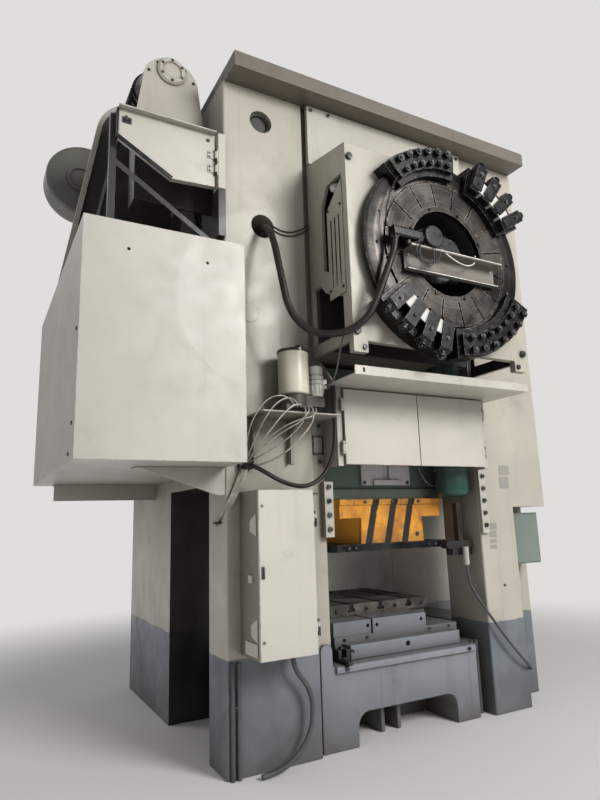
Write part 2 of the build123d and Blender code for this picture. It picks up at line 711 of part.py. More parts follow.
def motor_blower():
    """Round fan casing on the back of the main motor, off its axis like a volute."""
    start = MOTOR_FRONT + MOTOR_LENGTH
    casing = rod_y(BLOWER_X, BLOWER_Z, BLOWER_RADIUS, (start, start + BLOWER_LENGTH))
    casing = fillet(casing.edges().filter_by(GeomType.CIRCLE), 40)
    inlet = rod_y(BLOWER_X - 60, BLOWER_Z, 150, (start - 30, start + 1))
    inlet -= rod_y(BLOWER_X - 60, BLOWER_Z, 120, (start - 31, start - 8))
    return casing + inlet


# Flywheel box and guards
def flywheel_box():
    left, right = -HALF - BOX_WIDTH, -HALF
    top = BOX_LOW + BOX_HEIGHT
    box = sheet_box((left, right), (BOX_FRONT + BOX_SHEET, BOX_REAR), (BOX_LOW, top), BOX_SHEET, ("z", 1))
    box -= block((right - BOX_SHEET - 1, right + 1), (FRONT, BOX_REAR - BOX_SHEET),
                 (BOX_LOW + BOX_SHEET, top + 1))
    box -= block((left + BOX_SHEET, right - BOX_SHEET), (BOX_FRONT, BOX_FRONT + 3 * BOX_SHEET),
                 (BOX_LOW + BOX_SHEET, top + 1))
    box += block((left, right), (GUARD_REAR_Y - 80, BOX_REAR), (top - BOX_SHEET, top))
    box -= rod_y(COUNTERSHAFT_X, COUNTERSHAFT_Z, COUNTERSHAFT_RADIUS + 60,
                 (BOX_REAR - 3 * BOX_SHEET, BOX_REAR + 1))
    return group([box] + box_gussets())


def box_panel():
    """Front panel of the flywheel box."""
    left = -HALF - BOX_WIDTH
    panel = block((left, -HALF + 10), (BOX_FRONT, BOX_FRONT + BOX_SHEET - SEAT_GAP),
                  (BOX_LOW, BOX_LOW + BOX_HEIGHT))
    for x in (left + 290, left + 830):
        panel -= rod_y(x, BOX_LOW + BOX_HEIGHT - 190, 11, (BOX_FRONT - 1, BOX_FRONT + BOX_SHEET + 1))
    return panel


def box_screws():
    left = -HALF - BOX_WIDTH
    heads = []
    for y, z in ((BOX_FRONT + 70, BOX_LOW + 820), (BOX_FRONT + 110, BOX_LOW + 230),
                 (BOX_FRONT + 200, BOX_LOW + 50)):
        heads.append(rod_x(y, z, 12, (left - 7, left)))
    return heads


def box_gussets():
    left = -HALF - BOX_WIDTH
    low = BOX_LOW
    front = plate_y([(-HALF, low), (-HALF, low - 200), (-HALF - 60, low - 200), (-HALF - 640, low)],
                    (FRONT, FRONT + 20))
    front += block((-HALF - 640, -HALF), (FRONT, FRONT + 160), (low - 14, low))
    rear = block((left + 160, -HALF), (480, 500), (low - 150, low))
    rear += block((left + 160, -HALF), (480, 600), (low - 14, low))
    return [front, rear]


def belt_guard_front():
    """Front plate of the belt guard with the outboard bearing of the pulley shaft."""
    y = (GUARD_FRONT_Y, GUARD_FRONT_Y + GUARD_SHEET)
    crown, half_top = GUARD_CROWN_Z, GUARD_CROWN_RADIUS
    outline = [(-HALF, GUARD_LOW), (-HALF, GUARD_SHOULDER_Z - 10), (PULLEY_X + 290, GUARD_SHOULDER_Z),
               (PULLEY_X + half_top, crown), (PULLEY_X - half_top, crown), (GUARD_LEFT, GUARD_SHOULDER_Z),
               (GUARD_LEFT, GUARD_LOW)]
    plate = plate_y(outline, y) + rod_y(PULLEY_X, crown, half_top, y)
    rim = rod_y(PULLEY_X, crown, half_top, (y[0], y[0] + 120))
    rim -= rod_y(PULLEY_X, crown, half_top - 14, (y[0] - 1, y[0] + 121))
    rim -= block((PULLEY_X - half_top - 1, PULLEY_X + half_top + 1), (y[0] - 1, y[0] + 121),
                 (crown - half_top - 1, crown))
    bore = PULLEY_SHAFT_RADIUS + RUNNING_FIT
    boss = turned_y([(bore, y[0] + 20), (125, y[0]), (125, y[0] - 14), (108, y[0] - 30), (82, y[0] - 30),
                     (76, y[0] - 16), (0, y[0] - 16), (0, y[0] + 20)], PULLEY_X, PULLEY_Z)
    bearing = turned_y([(bore, y[0] + 20), (110, y[0] + 20), (110, y[0] + 110), (bore, y[0] + 110)],
                       PULLEY_X, PULLEY_Z)
    left_side = block((GUARD_LEFT, GUARD_LEFT + 14), (y[0], y[0] + 200), (GUARD_LOW, GUARD_SHOULDER_Z))
    return plate + rim + boss + bearing + left_side


def belt_guard_rear():
    """Rear plate of the belt guard, round at the top and wide at the foot, with a folded rim."""
    top = BOX_LOW + BOX_HEIGHT
    left = -HALF - BOX_WIDTH + 20
    right = -HALF - 2
    lean = math.radians(14)
    tangent = (PULLEY_X - GUARD_RIM_RADIUS * math.cos(lean), PULLEY_Z + GUARD_RIM_RADIUS * math.sin(lean))

    def outline(inset, y):
        foot = [(left + inset, top), (right, top), (right, PULLEY_Z)]
        sides = plate_y(foot + [(PULLEY_X, PULLEY_Z), (tangent[0] + inset, tangent[1])], y)
        head = rod_y(PULLEY_X, PULLEY_Z, GUARD_RIM_RADIUS - inset, y)
        return sides + head - block((right, 0), (y[0] - 1, y[1] + 1), (top - 1, 6500))

    plate = outline(0, (GUARD_REAR_Y, GUARD_REAR_Y + 15))
    rim = outline(0, (GUARD_REAR_Y - 70, GUARD_REAR_Y))
    rim -= outline(45, (GUARD_REAR_Y - 71, GUARD_REAR_Y + 1))
    rim -= block((left - 50, right + 1), (GUARD_REAR_Y - 72, GUARD_REAR_Y), (top - 1, top + 6))
    return plate + rim - rod_y(PULLEY_X, PULLEY_Z, PULLEY_SHAFT_RADIUS + 30,
                               (GUARD_REAR_Y - 100, GUARD_REAR_Y + 100))


def flap_frame():
    """Angle-iron frame that carries the flap above the flywheel box."""
    post_x = FLAP_LEFT - 40
    y = (FRONT + 40, FRONT + 48)
    floor = BOX_LOW + BOX_SHEET
    pieces = [block((post_x, post_x + 50), y, (floor, FLAP_TOP)),
              block((post_x, post_x + 8), (y[0], y[0] + 50), (floor, FLAP_TOP))]
    pieces.append(block((post_x, -HALF), y, (FLAP_TOP - 60, FLAP_TOP)))
    pieces.append(block((post_x, -HALF), (y[0], y[0] + 50), (FLAP_TOP - 8, FLAP_TOP)))
    brace = plate_y([(post_x, 4330), (post_x, 4380), (-HALF, 3800), (-HALF, 3750)], y)
    pieces.append(brace)
    post = block((-HALF - 60, -HALF), (FRONT - 50, FRONT + 60), (3860, FLAP_TOP + 20))
    return group([fused(pieces + [post])] + flap_hinges())


def flap():
    """Flap above the flywheel box, cut away at its lower left."""
    y = (FRONT - 30, FRONT - 30 + FLAP_SHEET)
    left_foot, right_foot = (FLAP_LEFT, FLAP_LEFT_FOOT_Z), (FLAP_RIGHT, FLAP_RIGHT_FOOT_Z)
    corner = (FLAP_CORNER_X, FLAP_CORNER_Z)
    outline = [(FLAP_LEFT, FLAP_TOP), (FLAP_RIGHT, FLAP_TOP), right_foot, corner, left_foot]
    skin = plate_y(outline, y)
    lip = block((FLAP_LEFT, FLAP_RIGHT), (y[0] - 50, y[1]), (FLAP_TOP, FLAP_TOP + 10))
    fold = (y[0], y[1] + 40)
    end = block((FLAP_LEFT, FLAP_LEFT + FLAP_SHEET), fold, (FLAP_LEFT_FOOT_Z, FLAP_TOP))
    edges = []
    for start, finish in ((corner, left_foot), (right_foot, corner)):
        raised = [(x, z + FLAP_SHEET) for x, z in (finish, start)]
        edges.append(plate_y([start, finish] + raised, fold))
    knuckles = [rod_z(FLAP_HINGE_X, FLAP_HINGE_Y, 15, (z, z + 60)) for z in FLAP_HINGE_HEIGHTS]
    leaves = [block((FLAP_RIGHT - 60, FLAP_HINGE_X), (y[0] - 6, y[0]), (z, z + 60))
              for z in FLAP_HINGE_HEIGHTS]
    body = fused([skin, lip, end] + edges + knuckles + leaves)
    for z in FLAP_HINGE_HEIGHTS:
        body -= rod_z(FLAP_HINGE_X, FLAP_HINGE_Y, HINGE_PIN_RADIUS + RUNNING_FIT, (z - 1, z + 61))
    return body


def flap_hinges():
    pieces = []
    for z in FLAP_HINGE_HEIGHTS:
        pin = rod_z(FLAP_HINGE_X, FLAP_HINGE_Y, HINGE_PIN_RADIUS, (z - 20, z + 80))
        for low in (z - 20, z + 61):
            ear = rod_z(FLAP_HINGE_X, FLAP_HINGE_Y, 15, (low, low + 19))
            ear += block((FLAP_HINGE_X, -HALF - 60), (FLAP_HINGE_Y - 3, FLAP_HINGE_Y + 9),
                         (low, low + 19))
            pin += ear
        pieces.append(pin)
    return pieces


def gear_guard():
    """Rear cover over the gear pair, closed at the back."""
    start, end = REAR, GEAR_BACK + 190
    wall = 12

    def outline(margin, y):
        big = Pos(0, SHAFT_Z) * Circle(GEAR_MODULE * GEAR_TEETH / 2 + margin)
        small = Pos(COUNTERSHAFT_X, COUNTERSHAFT_Z) * Circle(GEAR_MODULE * PINION_TEETH / 2 + margin)
        hull = make_hull([*big.edges(), *small.edges()])
        return Pos(0, y[1], 0) * Rot(90, 0, 0) * extrude(hull, amount=y[1] - y[0])

    shell = outline(72, (start, end)) - outline(60, (start + wall, end - wall))
    shell -= rod_y(0, SHAFT_Z, 1480, (start - 1, start + wall + 1))
    shell -= rod_y(COUNTERSHAFT_X, COUNTERSHAFT_Z, COUNTERSHAFT_RADIUS + 20,
                   (start - 1, start + wall + 1))
    return shell


# Ram and tooling
def ram():
    half = RAM_WIDTH / 2
    body = block((-half, half), (RAM_FRONT, RAM_REAR), (RAM_LOW, RAM_TOP))
    body = chamfer(body.edges().filter_by(Axis.Z), 16)
    shoulder = RAM_LOW + RAM_SKIRT_HEIGHT
    body -= block((-half - 1, half + 1), (RAM_FRONT - 1, RAM_FRONT + RAM_SKIRT_STEP),
                  (shoulder, RAM_TOP + 1))
    reach = CRANK_THROW + ROD_SMALL_RADIUS + 60 + POCKET_CLEARANCE
    deep = WRIST_PIN_LENGTH / 2 + POCKET_CLEARANCE
    pocket = block((-reach, reach), (-deep, deep), (POCKET_FLOOR, RAM_TOP + 1))
    body -= pocket
    return body - rod_z(0, 0, EJECTOR_RADIUS + RUNNING_FIT, (RAM_LOW - 1, POCKET_FLOOR + 1))


def ram_cover():
    """Slotted cover plate with its clamp bar on the front of the ram."""
    half = COVER_PLATE_WIDTH / 2
    y0 = RAM_FRONT + RAM_SKIRT_STEP
    top = COVER_PLATE_LOW + COVER_PLATE_HEIGHT
    plate = block((-half, half), (y0 - 24, y0), (COVER_PLATE_LOW, top))
    plate -= block((-COVER_SLOT_WIDTH / 2, COVER_SLOT_WIDTH / 2), (y0 - 25, y0 - 8),
                   (COVER_PLATE_LOW + 40, top + 1))
    return plate + block((-145, 145), (y0 - 44, y0 - 24), (COVER_PLATE_LOW, COVER_PLATE_LOW + 46))


def ram_gibs():
    """Guide blocks between the uprights and the ram, two on each side."""
    pieces = []
    for sign in (-1, 1):
        for y in (RAM_FRONT + 120, RAM_REAR - 120 - GIB_LENGTH):
            inner = RAM_WIDTH / 2 + SEAT_GAP
            span = sorted((sign * inner, sign * INNER))
            pieces.append(block(tuple(span), (y, y + GIB_LENGTH), (GIB_LOW, GIB_LOW + GIB_HEIGHT)))
    return group(pieces)


def die_holder():
    """Upper die holder: a flanged block with slanted grooves across its front."""
    top, low = RAM_LOW, HOLDER_LOW
    half, foot = HOLDER_WIDTH / 2, HOLDER_FOOT_WIDTH / 2
    shoulder = top - HOLDER_FLANGE
    outline = [(-half, top), (half, top), (half, shoulder), (foot - 12, shoulder), (foot, low),
               (-foot, low),
               (-foot + 12, shoulder), (-half, shoulder)]
    body = plate_y(outline, (HOLDER_FRONT, HOLDER_REAR))
    body += block((-half, half), (HOLDER_FRONT - HOLDER_BAND_STEP, HOLDER_FRONT),
                  (top - HOLDER_BAND, top))
    for centre in STRIPE_CENTRES:
        lean = STRIPE_LEAN / 2
        groove = plate_y([(centre + lean - STRIPE_WIDTH / 2, top + 1),
                          (centre + lean + STRIPE_WIDTH / 2, top + 1),
                          (centre - lean + STRIPE_WIDTH / 2, low - 1),
                          (centre - lean - STRIPE_WIDTH / 2, low - 1)],
                         (HOLDER_FRONT - HOLDER_BAND_STEP - 1, HOLDER_FRONT + STRIPE_DEPTH))
        body -= groove
    return body - rod_z(0, 0, EJECTOR_RADIUS + RUNNING_FIT, (low - 1, top + 1))


def upper_die_plate():
    half = DIE_PLATE_WIDTH / 2
    top = HOLDER_LOW
    plate = block((-half, half), (HOLDER_FRONT - 6, HOLDER_REAR), (top - DIE_PLATE_HEIGHT, top))
    plate = chamfer(plate.edges().filter_by(Axis.Z), 40)
    return plate - rod_z(0, 0, EJECTOR_RADIUS + RUNNING_FIT, (top - DIE_PLATE_HEIGHT - 1, top + 1))


def upper_ejector():
    return rod_z(0, 0, EJECTOR_RADIUS, (HOLDER_LOW - DIE_PLATE_HEIGHT + 2, POCKET_FLOOR - 2))


def balance_cylinder():
    """Upright air cylinder in front of the ram on the right."""
    body = rod_z(BALANCE_X, BALANCE_Y, BALANCE_RADIUS, (RAM_LOW + 5, CROWN_LOW))
    body = fillet(body.edges().group_by(Axis.Z)[0], 50)
    collar = (BALANCE_COLLAR_Z, BALANCE_COLLAR_Z + BALANCE_COLLAR_HEIGHT)
    return body + rod_z(BALANCE_X, BALANCE_Y, BALANCE_RADIUS + 12, collar)


def sensor_bracket():
    """Black bracket with its upright bar beside the die holder."""
    arm = block((470, INNER), (-1290, -1200), (1390, 1455))
    arm = chamfer(arm.edges().filter_by(Axis.Y).group_by(Axis.X)[0], 28)
    bar = block((640, 690), (-1270, -1215), (1455, 1790))
    holder = block((560, INNER), (-1270, -1180), (1330, 1391))
    sleeve = rod_z(SLEEVE_X, SLEEVE_Y, 26, (1240, 1400))
    sleeve = chamfer(sleeve.edges().group_by(Axis.Z)[0], 9)
    return group([arm + bar + holder, sleeve])


# Table
def wedge():
    """Adjusting wedge that lifts the table when it is driven in."""
    half = WEDGE_WIDTH / 2
    low = BED_TOP
    rise = (WEDGE_REAR - WEDGE_FRONT) * WEDGE_SLOPE
    side = [(WEDGE_FRONT, low), (WEDGE_REAR, low), (WEDGE_REAR, low + WEDGE_HEIGHT - rise),
            (WEDGE_FRONT, low + WEDGE_HEIGHT)]
    body = plate_x(side, (-half, half))
    body -= rod_y(0, low + WEDGE_HEIGHT / 2 + 6, 20, (WEDGE_FRONT - 1, WEDGE_FRONT + 60))
    slot_front = -LOWER_EJECTOR_RADIUS - WEDGE_TRAVEL - 20
    slot_rear = LOWER_EJECTOR_RADIUS + 20
    body -= block((-90, 90), (slot_front, slot_rear), (low - 1, low + WEDGE_HEIGHT + 1))
    return body


def table():
    """Lower table with its blocks and the slotted top plate."""
    half = TABLE_WIDTH / 2
    seat = BED_TOP + WEDGE_HEIGHT + SEAT_GAP
    front_seat = seat - (TABLE_FRONT - WEDGE_FRONT) * WEDGE_SLOPE
    rear_seat = seat - (TABLE_REAR - WEDGE_FRONT) * WEDGE_SLOPE
    side = [(TABLE_FRONT, front_seat), (TABLE_REAR, rear_seat), (TABLE_REAR, TABLE_SLAB_TOP),
            (TABLE_FRONT, TABLE_SLAB_TOP)]
    body = plate_x(side, (-half, half))
    skirt_low = BED_TOP + 34
    for x in ((-half, -WEDGE_WIDTH / 2 - 8), (WEDGE_WIDTH / 2 + 8, half)):
        body += block(x, (TABLE_FRONT, TABLE_REAR), (skirt_low, TABLE_SLAB_TOP))
    body += block((-265, 295), (TABLE_FRONT, TABLE_TOP_FRONT + 60), (TABLE_SLAB_TOP, TABLE_BLOCK_TOP))
    body += block((-TABLE_TOP_WIDTH / 2, TABLE_TOP_WIDTH / 2), (TABLE_TOP_FRONT + 40, TABLE_TOP_REAR),
                  (TABLE_SLAB_TOP, TABLE_BLOCK_TOP))
    for x in (-225, 245):
        body -= rod_y(x, TABLE_BLOCK_TOP - 52, 15, (TABLE_FRONT - 1, TABLE_FRONT + 50))
    body -= rod_z(0, 0, LOWER_EJECTOR_RADIUS + RUNNING_FIT, (0, TABLE_TOP + 1))
    return group([body, table_side_block()])


def table_side_block():
    body = block((-640, -275), (TABLE_FRONT + 14, TABLE_TOP_FRONT + 30),
                 (TABLE_SLAB_TOP, TABLE_BLOCK_TOP - 4))
    body = chamfer(body.edges().group_by(Axis.Z)[-1], 6)
    return body - rod_y(-305, TABLE_BLOCK_TOP - 52, 15, (TABLE_FRONT, TABLE_FRONT + 60))


def bolster_plate():
    half = TABLE_TOP_WIDTH / 2
    plate = block((-half, half), (TABLE_TOP_FRONT, TABLE_TOP_REAR), (TABLE_BLOCK_TOP, TABLE_TOP))
    for index in (-1, 0, 1):
        x = index * T_SLOT_PITCH
        plate -= block((x - T_SLOT_NECK / 2, x + T_SLOT_NECK / 2),
                       (TABLE_TOP_FRONT - 1, TABLE_TOP_REAR + 1), (TABLE_TOP - 60, TABLE_TOP + 1))
        plate -= block((x - T_SLOT_FOOT / 2, x + T_SLOT_FOOT / 2),
                       (TABLE_TOP_FRONT - 1, TABLE_TOP_REAR + 1), (TABLE_TOP - 66, TABLE_TOP - 34))
    return plate - rod_z(0, 0, LOWER_EJECTOR_RADIUS + RUNNING_FIT, (TABLE_BLOCK_TOP - 1, TABLE_TOP + 1))


def wedge_clamp():
    """Black clamp at the left end of the wedge."""
    left = -WEDGE_WIDTH / 2 - 125
    body = block((left, left + 110), (WEDGE_FRONT - 15, WEDGE_FRONT + 100), (BED_TOP, BED_TOP + 90))
    body -= block((left + 34, left + 74), (WEDGE_FRONT - 16, WEDGE_FRONT + 101),
                  (BED_TOP + 30, BED_TOP + 91))
    return body + block((left, left + 40), (BED_FRONT - 60, WEDGE_FRONT - 14), (BED_TOP, BED_TOP + 30))


def lower_ejector():
    return rod_z(0, 0, LOWER_EJECTOR_RADIUS, (EJECTOR_FLOOR + SEAT_GAP, TABLE_TOP - 70))


# Brake
def brake_housing():
    half = HOUSING_WIDTH / 2
    side = [(FRONT, HOUSING_LOW), (HOUSING_FRONT, HOUSING_LOW), (HOUSING_FRONT, HOUSING_FRONT_TOP),
            (FRONT, HOUSING_BACK_TOP)]
    body = plate_x(side, (-half, half))
    hollow_top = HOUSING_FRONT_TOP - HOUSING_WALL
    hollow = plate_x([(FRONT + 1, HOUSING_LOW - 1), (HOUSING_FRONT + HOUSING_PLATE, HOUSING_LOW - 1),
                      (HOUSING_FRONT + HOUSING_PLATE, hollow_top), (FRONT + 1, hollow_top)],
                     (-half + HOUSING_WALL, half - HOUSING_WALL))
    body -= hollow
    body -= rod_y(0, SHAFT_Z, HOUSING_BORE, (HOUSING_FRONT - 1, HOUSING_FRONT + HOUSING_PLATE + 1))
    upper = [(-1620, 3640), (-1620, 4200), (-1700, 4340), (-1930, 4340), (-1930, 3480)]
    lower = [(-1440, 3060), (-1440, 3530), (-1560, 3530), (-1640, 3440), (-1890, 3330), (-1890, 3060)]
    for outline in (upper, lower):
        body -= plate_x(outline, (-half - 1, -half + HOUSING_WALL + 1))
        body -= plate_x(outline, (half - HOUSING_WALL - 1, half + 1))
    for x in ((-half, -half + 130), (half - 130, half)):
        body += block(x, (HOUSING_FRONT, HOUSING_FRONT + HOUSING_PLATE),
                      (HOUSING_LOW - HOUSING_TAB, HOUSING_LOW + 1))
    return group([body, housing_louvre()])


def housing_bolts():
    half = HOUSING_WIDTH / 2 - 34
    heads = []
    for x in (-half, half):
        for z in (HOUSING_FRONT_TOP - 120, HOUSING_LOW + 70):
            heads.append(hex_bolt_y(x, z, 30, HOUSING_FRONT, 22))
    heads.append(hex_bolt_y(-half + 62, HOUSING_LOW - 50, 20, HOUSING_FRONT, 16))
    heads.append(hex_bolt_y(half - 62, HOUSING_LOW - 50, 20, HOUSING_FRONT, 16))
    return heads


def housing_louvre():
    """Slotted plate over the upper opening on the left of the brake housing."""
    half = HOUSING_WIDTH / 2
    front, back = -1940, -1715
    plate = plate_x([(back, 3350), (front, 3350), (front, 4290), (back, 4110)],
                    (-half - LOUVRE_THICKNESS, -half))
    pitch = (back - front) / (LOUVRE_SLOTS + 1)
    for index in range(LOUVRE_SLOTS):
        y = front + pitch * (index + 1)
        plate -= block((-half - LOUVRE_THICKNESS - 1, -half + 1), (y - 9, y + 9), (3440, 4010))
    return plate


def brake_rotor():
    """Brake disc: tapered rim, sectored inner ring and dished hub."""
    front = BRAKE_DISC_FRONT
    back = front + BRAKE_DISC_THICKNESS
    face = BRAKE_FACE_RADIUS
    profile = [(SHAFT_END_RADIUS, SHAFT_FRONT_Y - 10), (BRAKE_HUB_RADIUS, SHAFT_FRONT_Y - 10),
               (BRAKE_BORE_RADIUS, back - 20),
               (BRAKE_BORE_RADIUS, front - 10), (face, front - 10), (face, front + 8),
               (face + 16, front + 8), (face + 16, front),
               (BRAKE_RADIUS - 30, front), (BRAKE_RADIUS, front + 12), (BRAKE_RADIUS, back),
               (BRAKE_BORE_RADIUS + 60, back),
               (BRAKE_HUB_RADIUS + 50, -1700), (SHAFT_END_RADIUS, -1700)]
    rotor = turned_y(profile, 0, SHAFT_Z)
    for index in range(BRAKE_SECTORS):
        angle = 360 * (index + 0.5) / BRAKE_SECTORS
        groove = block((BRAKE_BORE_RADIUS + 40, face + 1), (front - 11, front + 6), (-7, 7))
        rotor -= Pos(0, 0, SHAFT_Z) * Rot(0, -angle, 0) * groove
    return rotor


def sector(inner, outer, span, y):
    """Ring sector about the shaft axis, centred on the +X side."""
    ring = turned_y([(inner, y[0]), (outer, y[0]), (outer, y[1]), (inner, y[1])], 0, 0)
    reach = 2 * outer
    half = math.radians(span / 2)
    wedge_face = [(0, 0), (reach * math.cos(half), -reach * math.sin(half)),
                  (reach * math.cos(half), reach * math.sin(half))]
    return ring & plate_y(wedge_face, (y[0] - 1, y[1] + 1))


def caliper(angle, span):
    """Brake caliper over the rim of the disc, with a row of finger blocks."""
    front_y = CALIPER_FACE + CALIPER_PLATE
    face = sector(CALIPER_INNER, CALIPER_OUTER, span, (CALIPER_FACE, front_y))
    body = caliper_back(span) + face
    count = round(span / BLOCK_ANGLE)
    for index in range(count):
        turn = span * (index + 0.5) / count - span / 2
        finger = block((CALIPER_INNER + 30, CALIPER_OUTER + 24),
                       (CALIPER_FACE - FINGER_HEIGHT, CALIPER_FACE + 1), (-52, 52))
        finger = chamfer(finger.edges().filter_by(Axis.Z).group_by(Axis.Y)[0], 24)
        body += Rot(0, -turn, 0) * finger
    return Pos(0, 0, SHAFT_Z) * Rot(0, -angle, 0) * body


def stud_caliper(angle, span):
    """Brake caliper over the rim of the disc, with a curved clamp plate and two rows of round caps."""
    front_y = CALIPER_FACE + CALIPER_PLATE
    body = caliper_back(span)
    body += sector(CALIPER_INNER + 50, CALIPER_OUTER, span, (CALIPER_FACE, front_y))
    body += sector(CALIPER_INNER + 95, CALIPER_OUTER - 12, span - 4, (CALIPER_FACE - 42, CALIPER_FACE + 1))
    count = round(span / STUD_ANGLE)
    for index in range(count):
        turn = (span - 8) * (index + 0.5) / count - (span - 8) / 2
        for radius, size in ((CALIPER_OUTER - 52, 30), (CALIPER_INNER + 132, 24)):
            body += Rot(0, -turn, 0) * rod_y(radius, 0, size, (CALIPER_FACE - 78, CALIPER_FACE - 41))
    return Pos(0, 0, SHAFT_Z) * Rot(0, -angle, 0) * body


def caliper_back(span):
    """Back jaw of a caliper and its bridge over the rim."""
    disc_back = BRAKE_DISC_FRONT + BRAKE_DISC_THICKNESS
    rear = sector(CALIPER_INNER + 60, CALIPER_OUTER, span, (disc_back + CALIPER_AIR, HOUSING_FRONT))
    return rear + sector(BRAKE_RADIUS + 12, CALIPER_OUTER, span, (CALIPER_FACE, HOUSING_FRONT))


def brake_calipers():
    blocks = [caliper(angle, span) for angle, span in BLOCK_CALIPERS]
    return group(blocks + [stud_caliper(angle, span) for angle, span in STUD_CALIPERS])


def shaft_bracket():
    """Folded channel across the brake bore, held by the rotary union."""
    back = UNION_FRONT_Y
    front = back - 110
    low, top = SHAFT_Z - BRACKET_DROP, SHAFT_Z - STUB_RADIUS
    sheet = BRACKET_SHEET
    section = [(back, low), (back - 50, low), (back - 50, low + sheet), (back - sheet, low + sheet),
               (back - sheet, top - sheet), (front, top - sheet), (front, top), (back, top)]
    return plate_x(section, (-BRACKET_WIDTH / 2, BRACKET_WIDTH / 2))


def rotary_union():
    """Air union on the end of the shaft, and the cam switch above it."""
    back = UNION_FRONT_Y + 85
    bore = STUB_RADIUS + RUNNING_FIT
    closed = STUB_FRONT_Y - 2
    union = turned_y([(0, UNION_FRONT_Y), (125, UNION_FRONT_Y), (125, back), (bore, back), (bore, closed),
                      (0, closed)], 0, SHAFT_Z)
    return group([union, cam_switch()])


def cam_switch():
    """Round cam switch with its connector box, on top of the bracket."""
    middle = UNION_FRONT_Y - 60
    body = rod_y(-255, 3795, 92, (middle - 75, middle + 40))
    body = fillet(body.edges().filter_by(GeomType.CIRCLE), 12)
    foot = block((-340, -170), (middle - 45, middle + 40), (3700, 3760))
    box = block((-620, -320), (middle - 50, middle + 30), (3745, 3830))
    box = fillet(box.edges().filter_by(Axis.X), 20)
    return body + foot + box


# Shelf and doors
def door_shelf():
    half = HOUSING_WIDTH / 2
    deck = block((-half, half), (SHELF_FRONT, FRONT), (SHELF_LOW, SHELF_LOW + SHELF_SHEET))
    deck -= rod_z(BALANCE_X, BALANCE_Y, BALANCE_RADIUS + 20, (SHELF_LOW - 1, SHELF_LOW + SHELF_SHEET + 1))
    lip = block((-half, half), (SHELF_FRONT, SHELF_FRONT + SHELF_SHEET),
                (SHELF_LOW, SHELF_LOW + SHELF_LIP))
    lip -= block((-half + 70, -half + 86), (SHELF_FRONT - 1, SHELF_FRONT + SHELF_SHEET + 1),
                 (SHELF_LOW + 22, SHELF_LOW + 54))
    return group([deck + lip] + shelf_stays() + door_posts())


def shelf_stays():
    """Side plates that hang the shelf from the brake housing."""
    half = HOUSING_WIDTH / 2
    pieces = []
    for x in ((-half + 40, -half + 60), (half - 60, half - 40)):
        outline = [(FRONT, SHELF_LOW + SHELF_SHEET), (-1640, SHELF_LOW + SHELF_SHEET),
                   (FRONT, HOUSING_LOW)]
        pieces.append(plate_x(outline, x))
    return pieces


def door_posts():
    """Angle posts beside the front doors, with their hinge pins."""
    pieces = []
    for sign in (-1, 1):
        seat = FRONT if sign > 0 else FRONT + STRIP_STEP
        z = (DOOR_LOW - 10, SHELF_LOW - SEAT_GAP)
        face = sorted((sign * (DOOR_HINGE_X - 12), sign * INNER))
        web = sorted((sign * (INNER - DOOR_POST_SHEET), sign * INNER))
        post = block(tuple(face), (DOOR_HINGE_Y + 24, DOOR_HINGE_Y + 32), z)
        post += block(tuple(web), (DOOR_HINGE_Y + 24, seat + 80), z)
        for height in DOOR_HINGE_HEIGHTS:
            for low in (height - 21, height + 61):
                ear = rod_z(sign * DOOR_HINGE_X, DOOR_HINGE_Y, HINGE_RADIUS, (low, low + 20))
                ear += block((sign * DOOR_HINGE_X - 8, sign * DOOR_HINGE_X + 8),
                             (DOOR_HINGE_Y, DOOR_HINGE_Y + 30), (low, low + 20))
                post += ear
            post += rod_z(sign * DOOR_HINGE_X, DOOR_HINGE_Y, HINGE_PIN_RADIUS, (height - 20, height + 80))
        pieces.append(post)
    return pieces



def front_door(sign):
    inner = DOOR_GAP / 2
    x = sorted((sign * inner, sign * (inner + DOOR_WIDTH)))
    z = (DOOR_LOW, DOOR_LOW + DOOR_HEIGHT)
    panel = block(tuple(x), (DOOR_FRONT, DOOR_FRONT + DOOR_SHEET), z)
    panel = fillet(panel.edges().filter_by(Axis.X).group_by(Axis.Y)[0], 6)
    for height in DOOR_HINGE_HEIGHTS:
        leaf = sorted((sign * (inner + DOOR_WIDTH - 30), sign * DOOR_HINGE_X))
        panel += block(tuple(leaf), (DOOR_HINGE_Y - 5, DOOR_HINGE_Y + 5), (height, height + 60))
        panel += rod_z(sign * DOOR_HINGE_X, DOOR_HINGE_Y, HINGE_RADIUS, (height, height + 60))
        panel -= rod_z(sign * DOOR_HINGE_X, DOOR_HINGE_Y, HINGE_PIN_RADIUS + RUNNING_FIT,
                       (height - 1, height + 61))
    return panel


# Front fittings
def guide_plates():
    """Bolted guide plates, one on each side of the work window."""
    left = block((-INNER - 40, -INNER + 40), (FRONT, FRONT + STRIP_STEP), (1540, 1970))
    right = block((INNER, INNER + 80), (FRONT - 30, FRONT), (1514, 2081))
    return group([left, right] + stand_covers())


def guide_bolts():
    heads = [hex_bolt_y(-INNER - 2, 1601 + 109 * index, 20, FRONT, 16) for index in range(4)]
    heads += [hex_bolt_y(INNER + 40, 1586 + 109 * index, 20, FRONT - 30, 16) for index in range(5)]
    return heads


def hex_bolts():
    """Every visible bolt and screw head on the fixed pieces."""
    return group(panel_bolts() + housing_bolts() + box_screws() + guide_bolts())


def cabinet_body():
    x = (CABINET_LEFT, CABINET_LEFT + CABINET_WIDTH)
    z = (CABINET_LOW, CABINET_LOW + CABINET_HEIGHT)
    shell = sheet_box(x, (FRONT - CABINET_DEPTH + 20, FRONT), z, CABINET_SHEET, ("y", 0))
    return group([shell] + cabinet_hinges() + cabinet_plates())


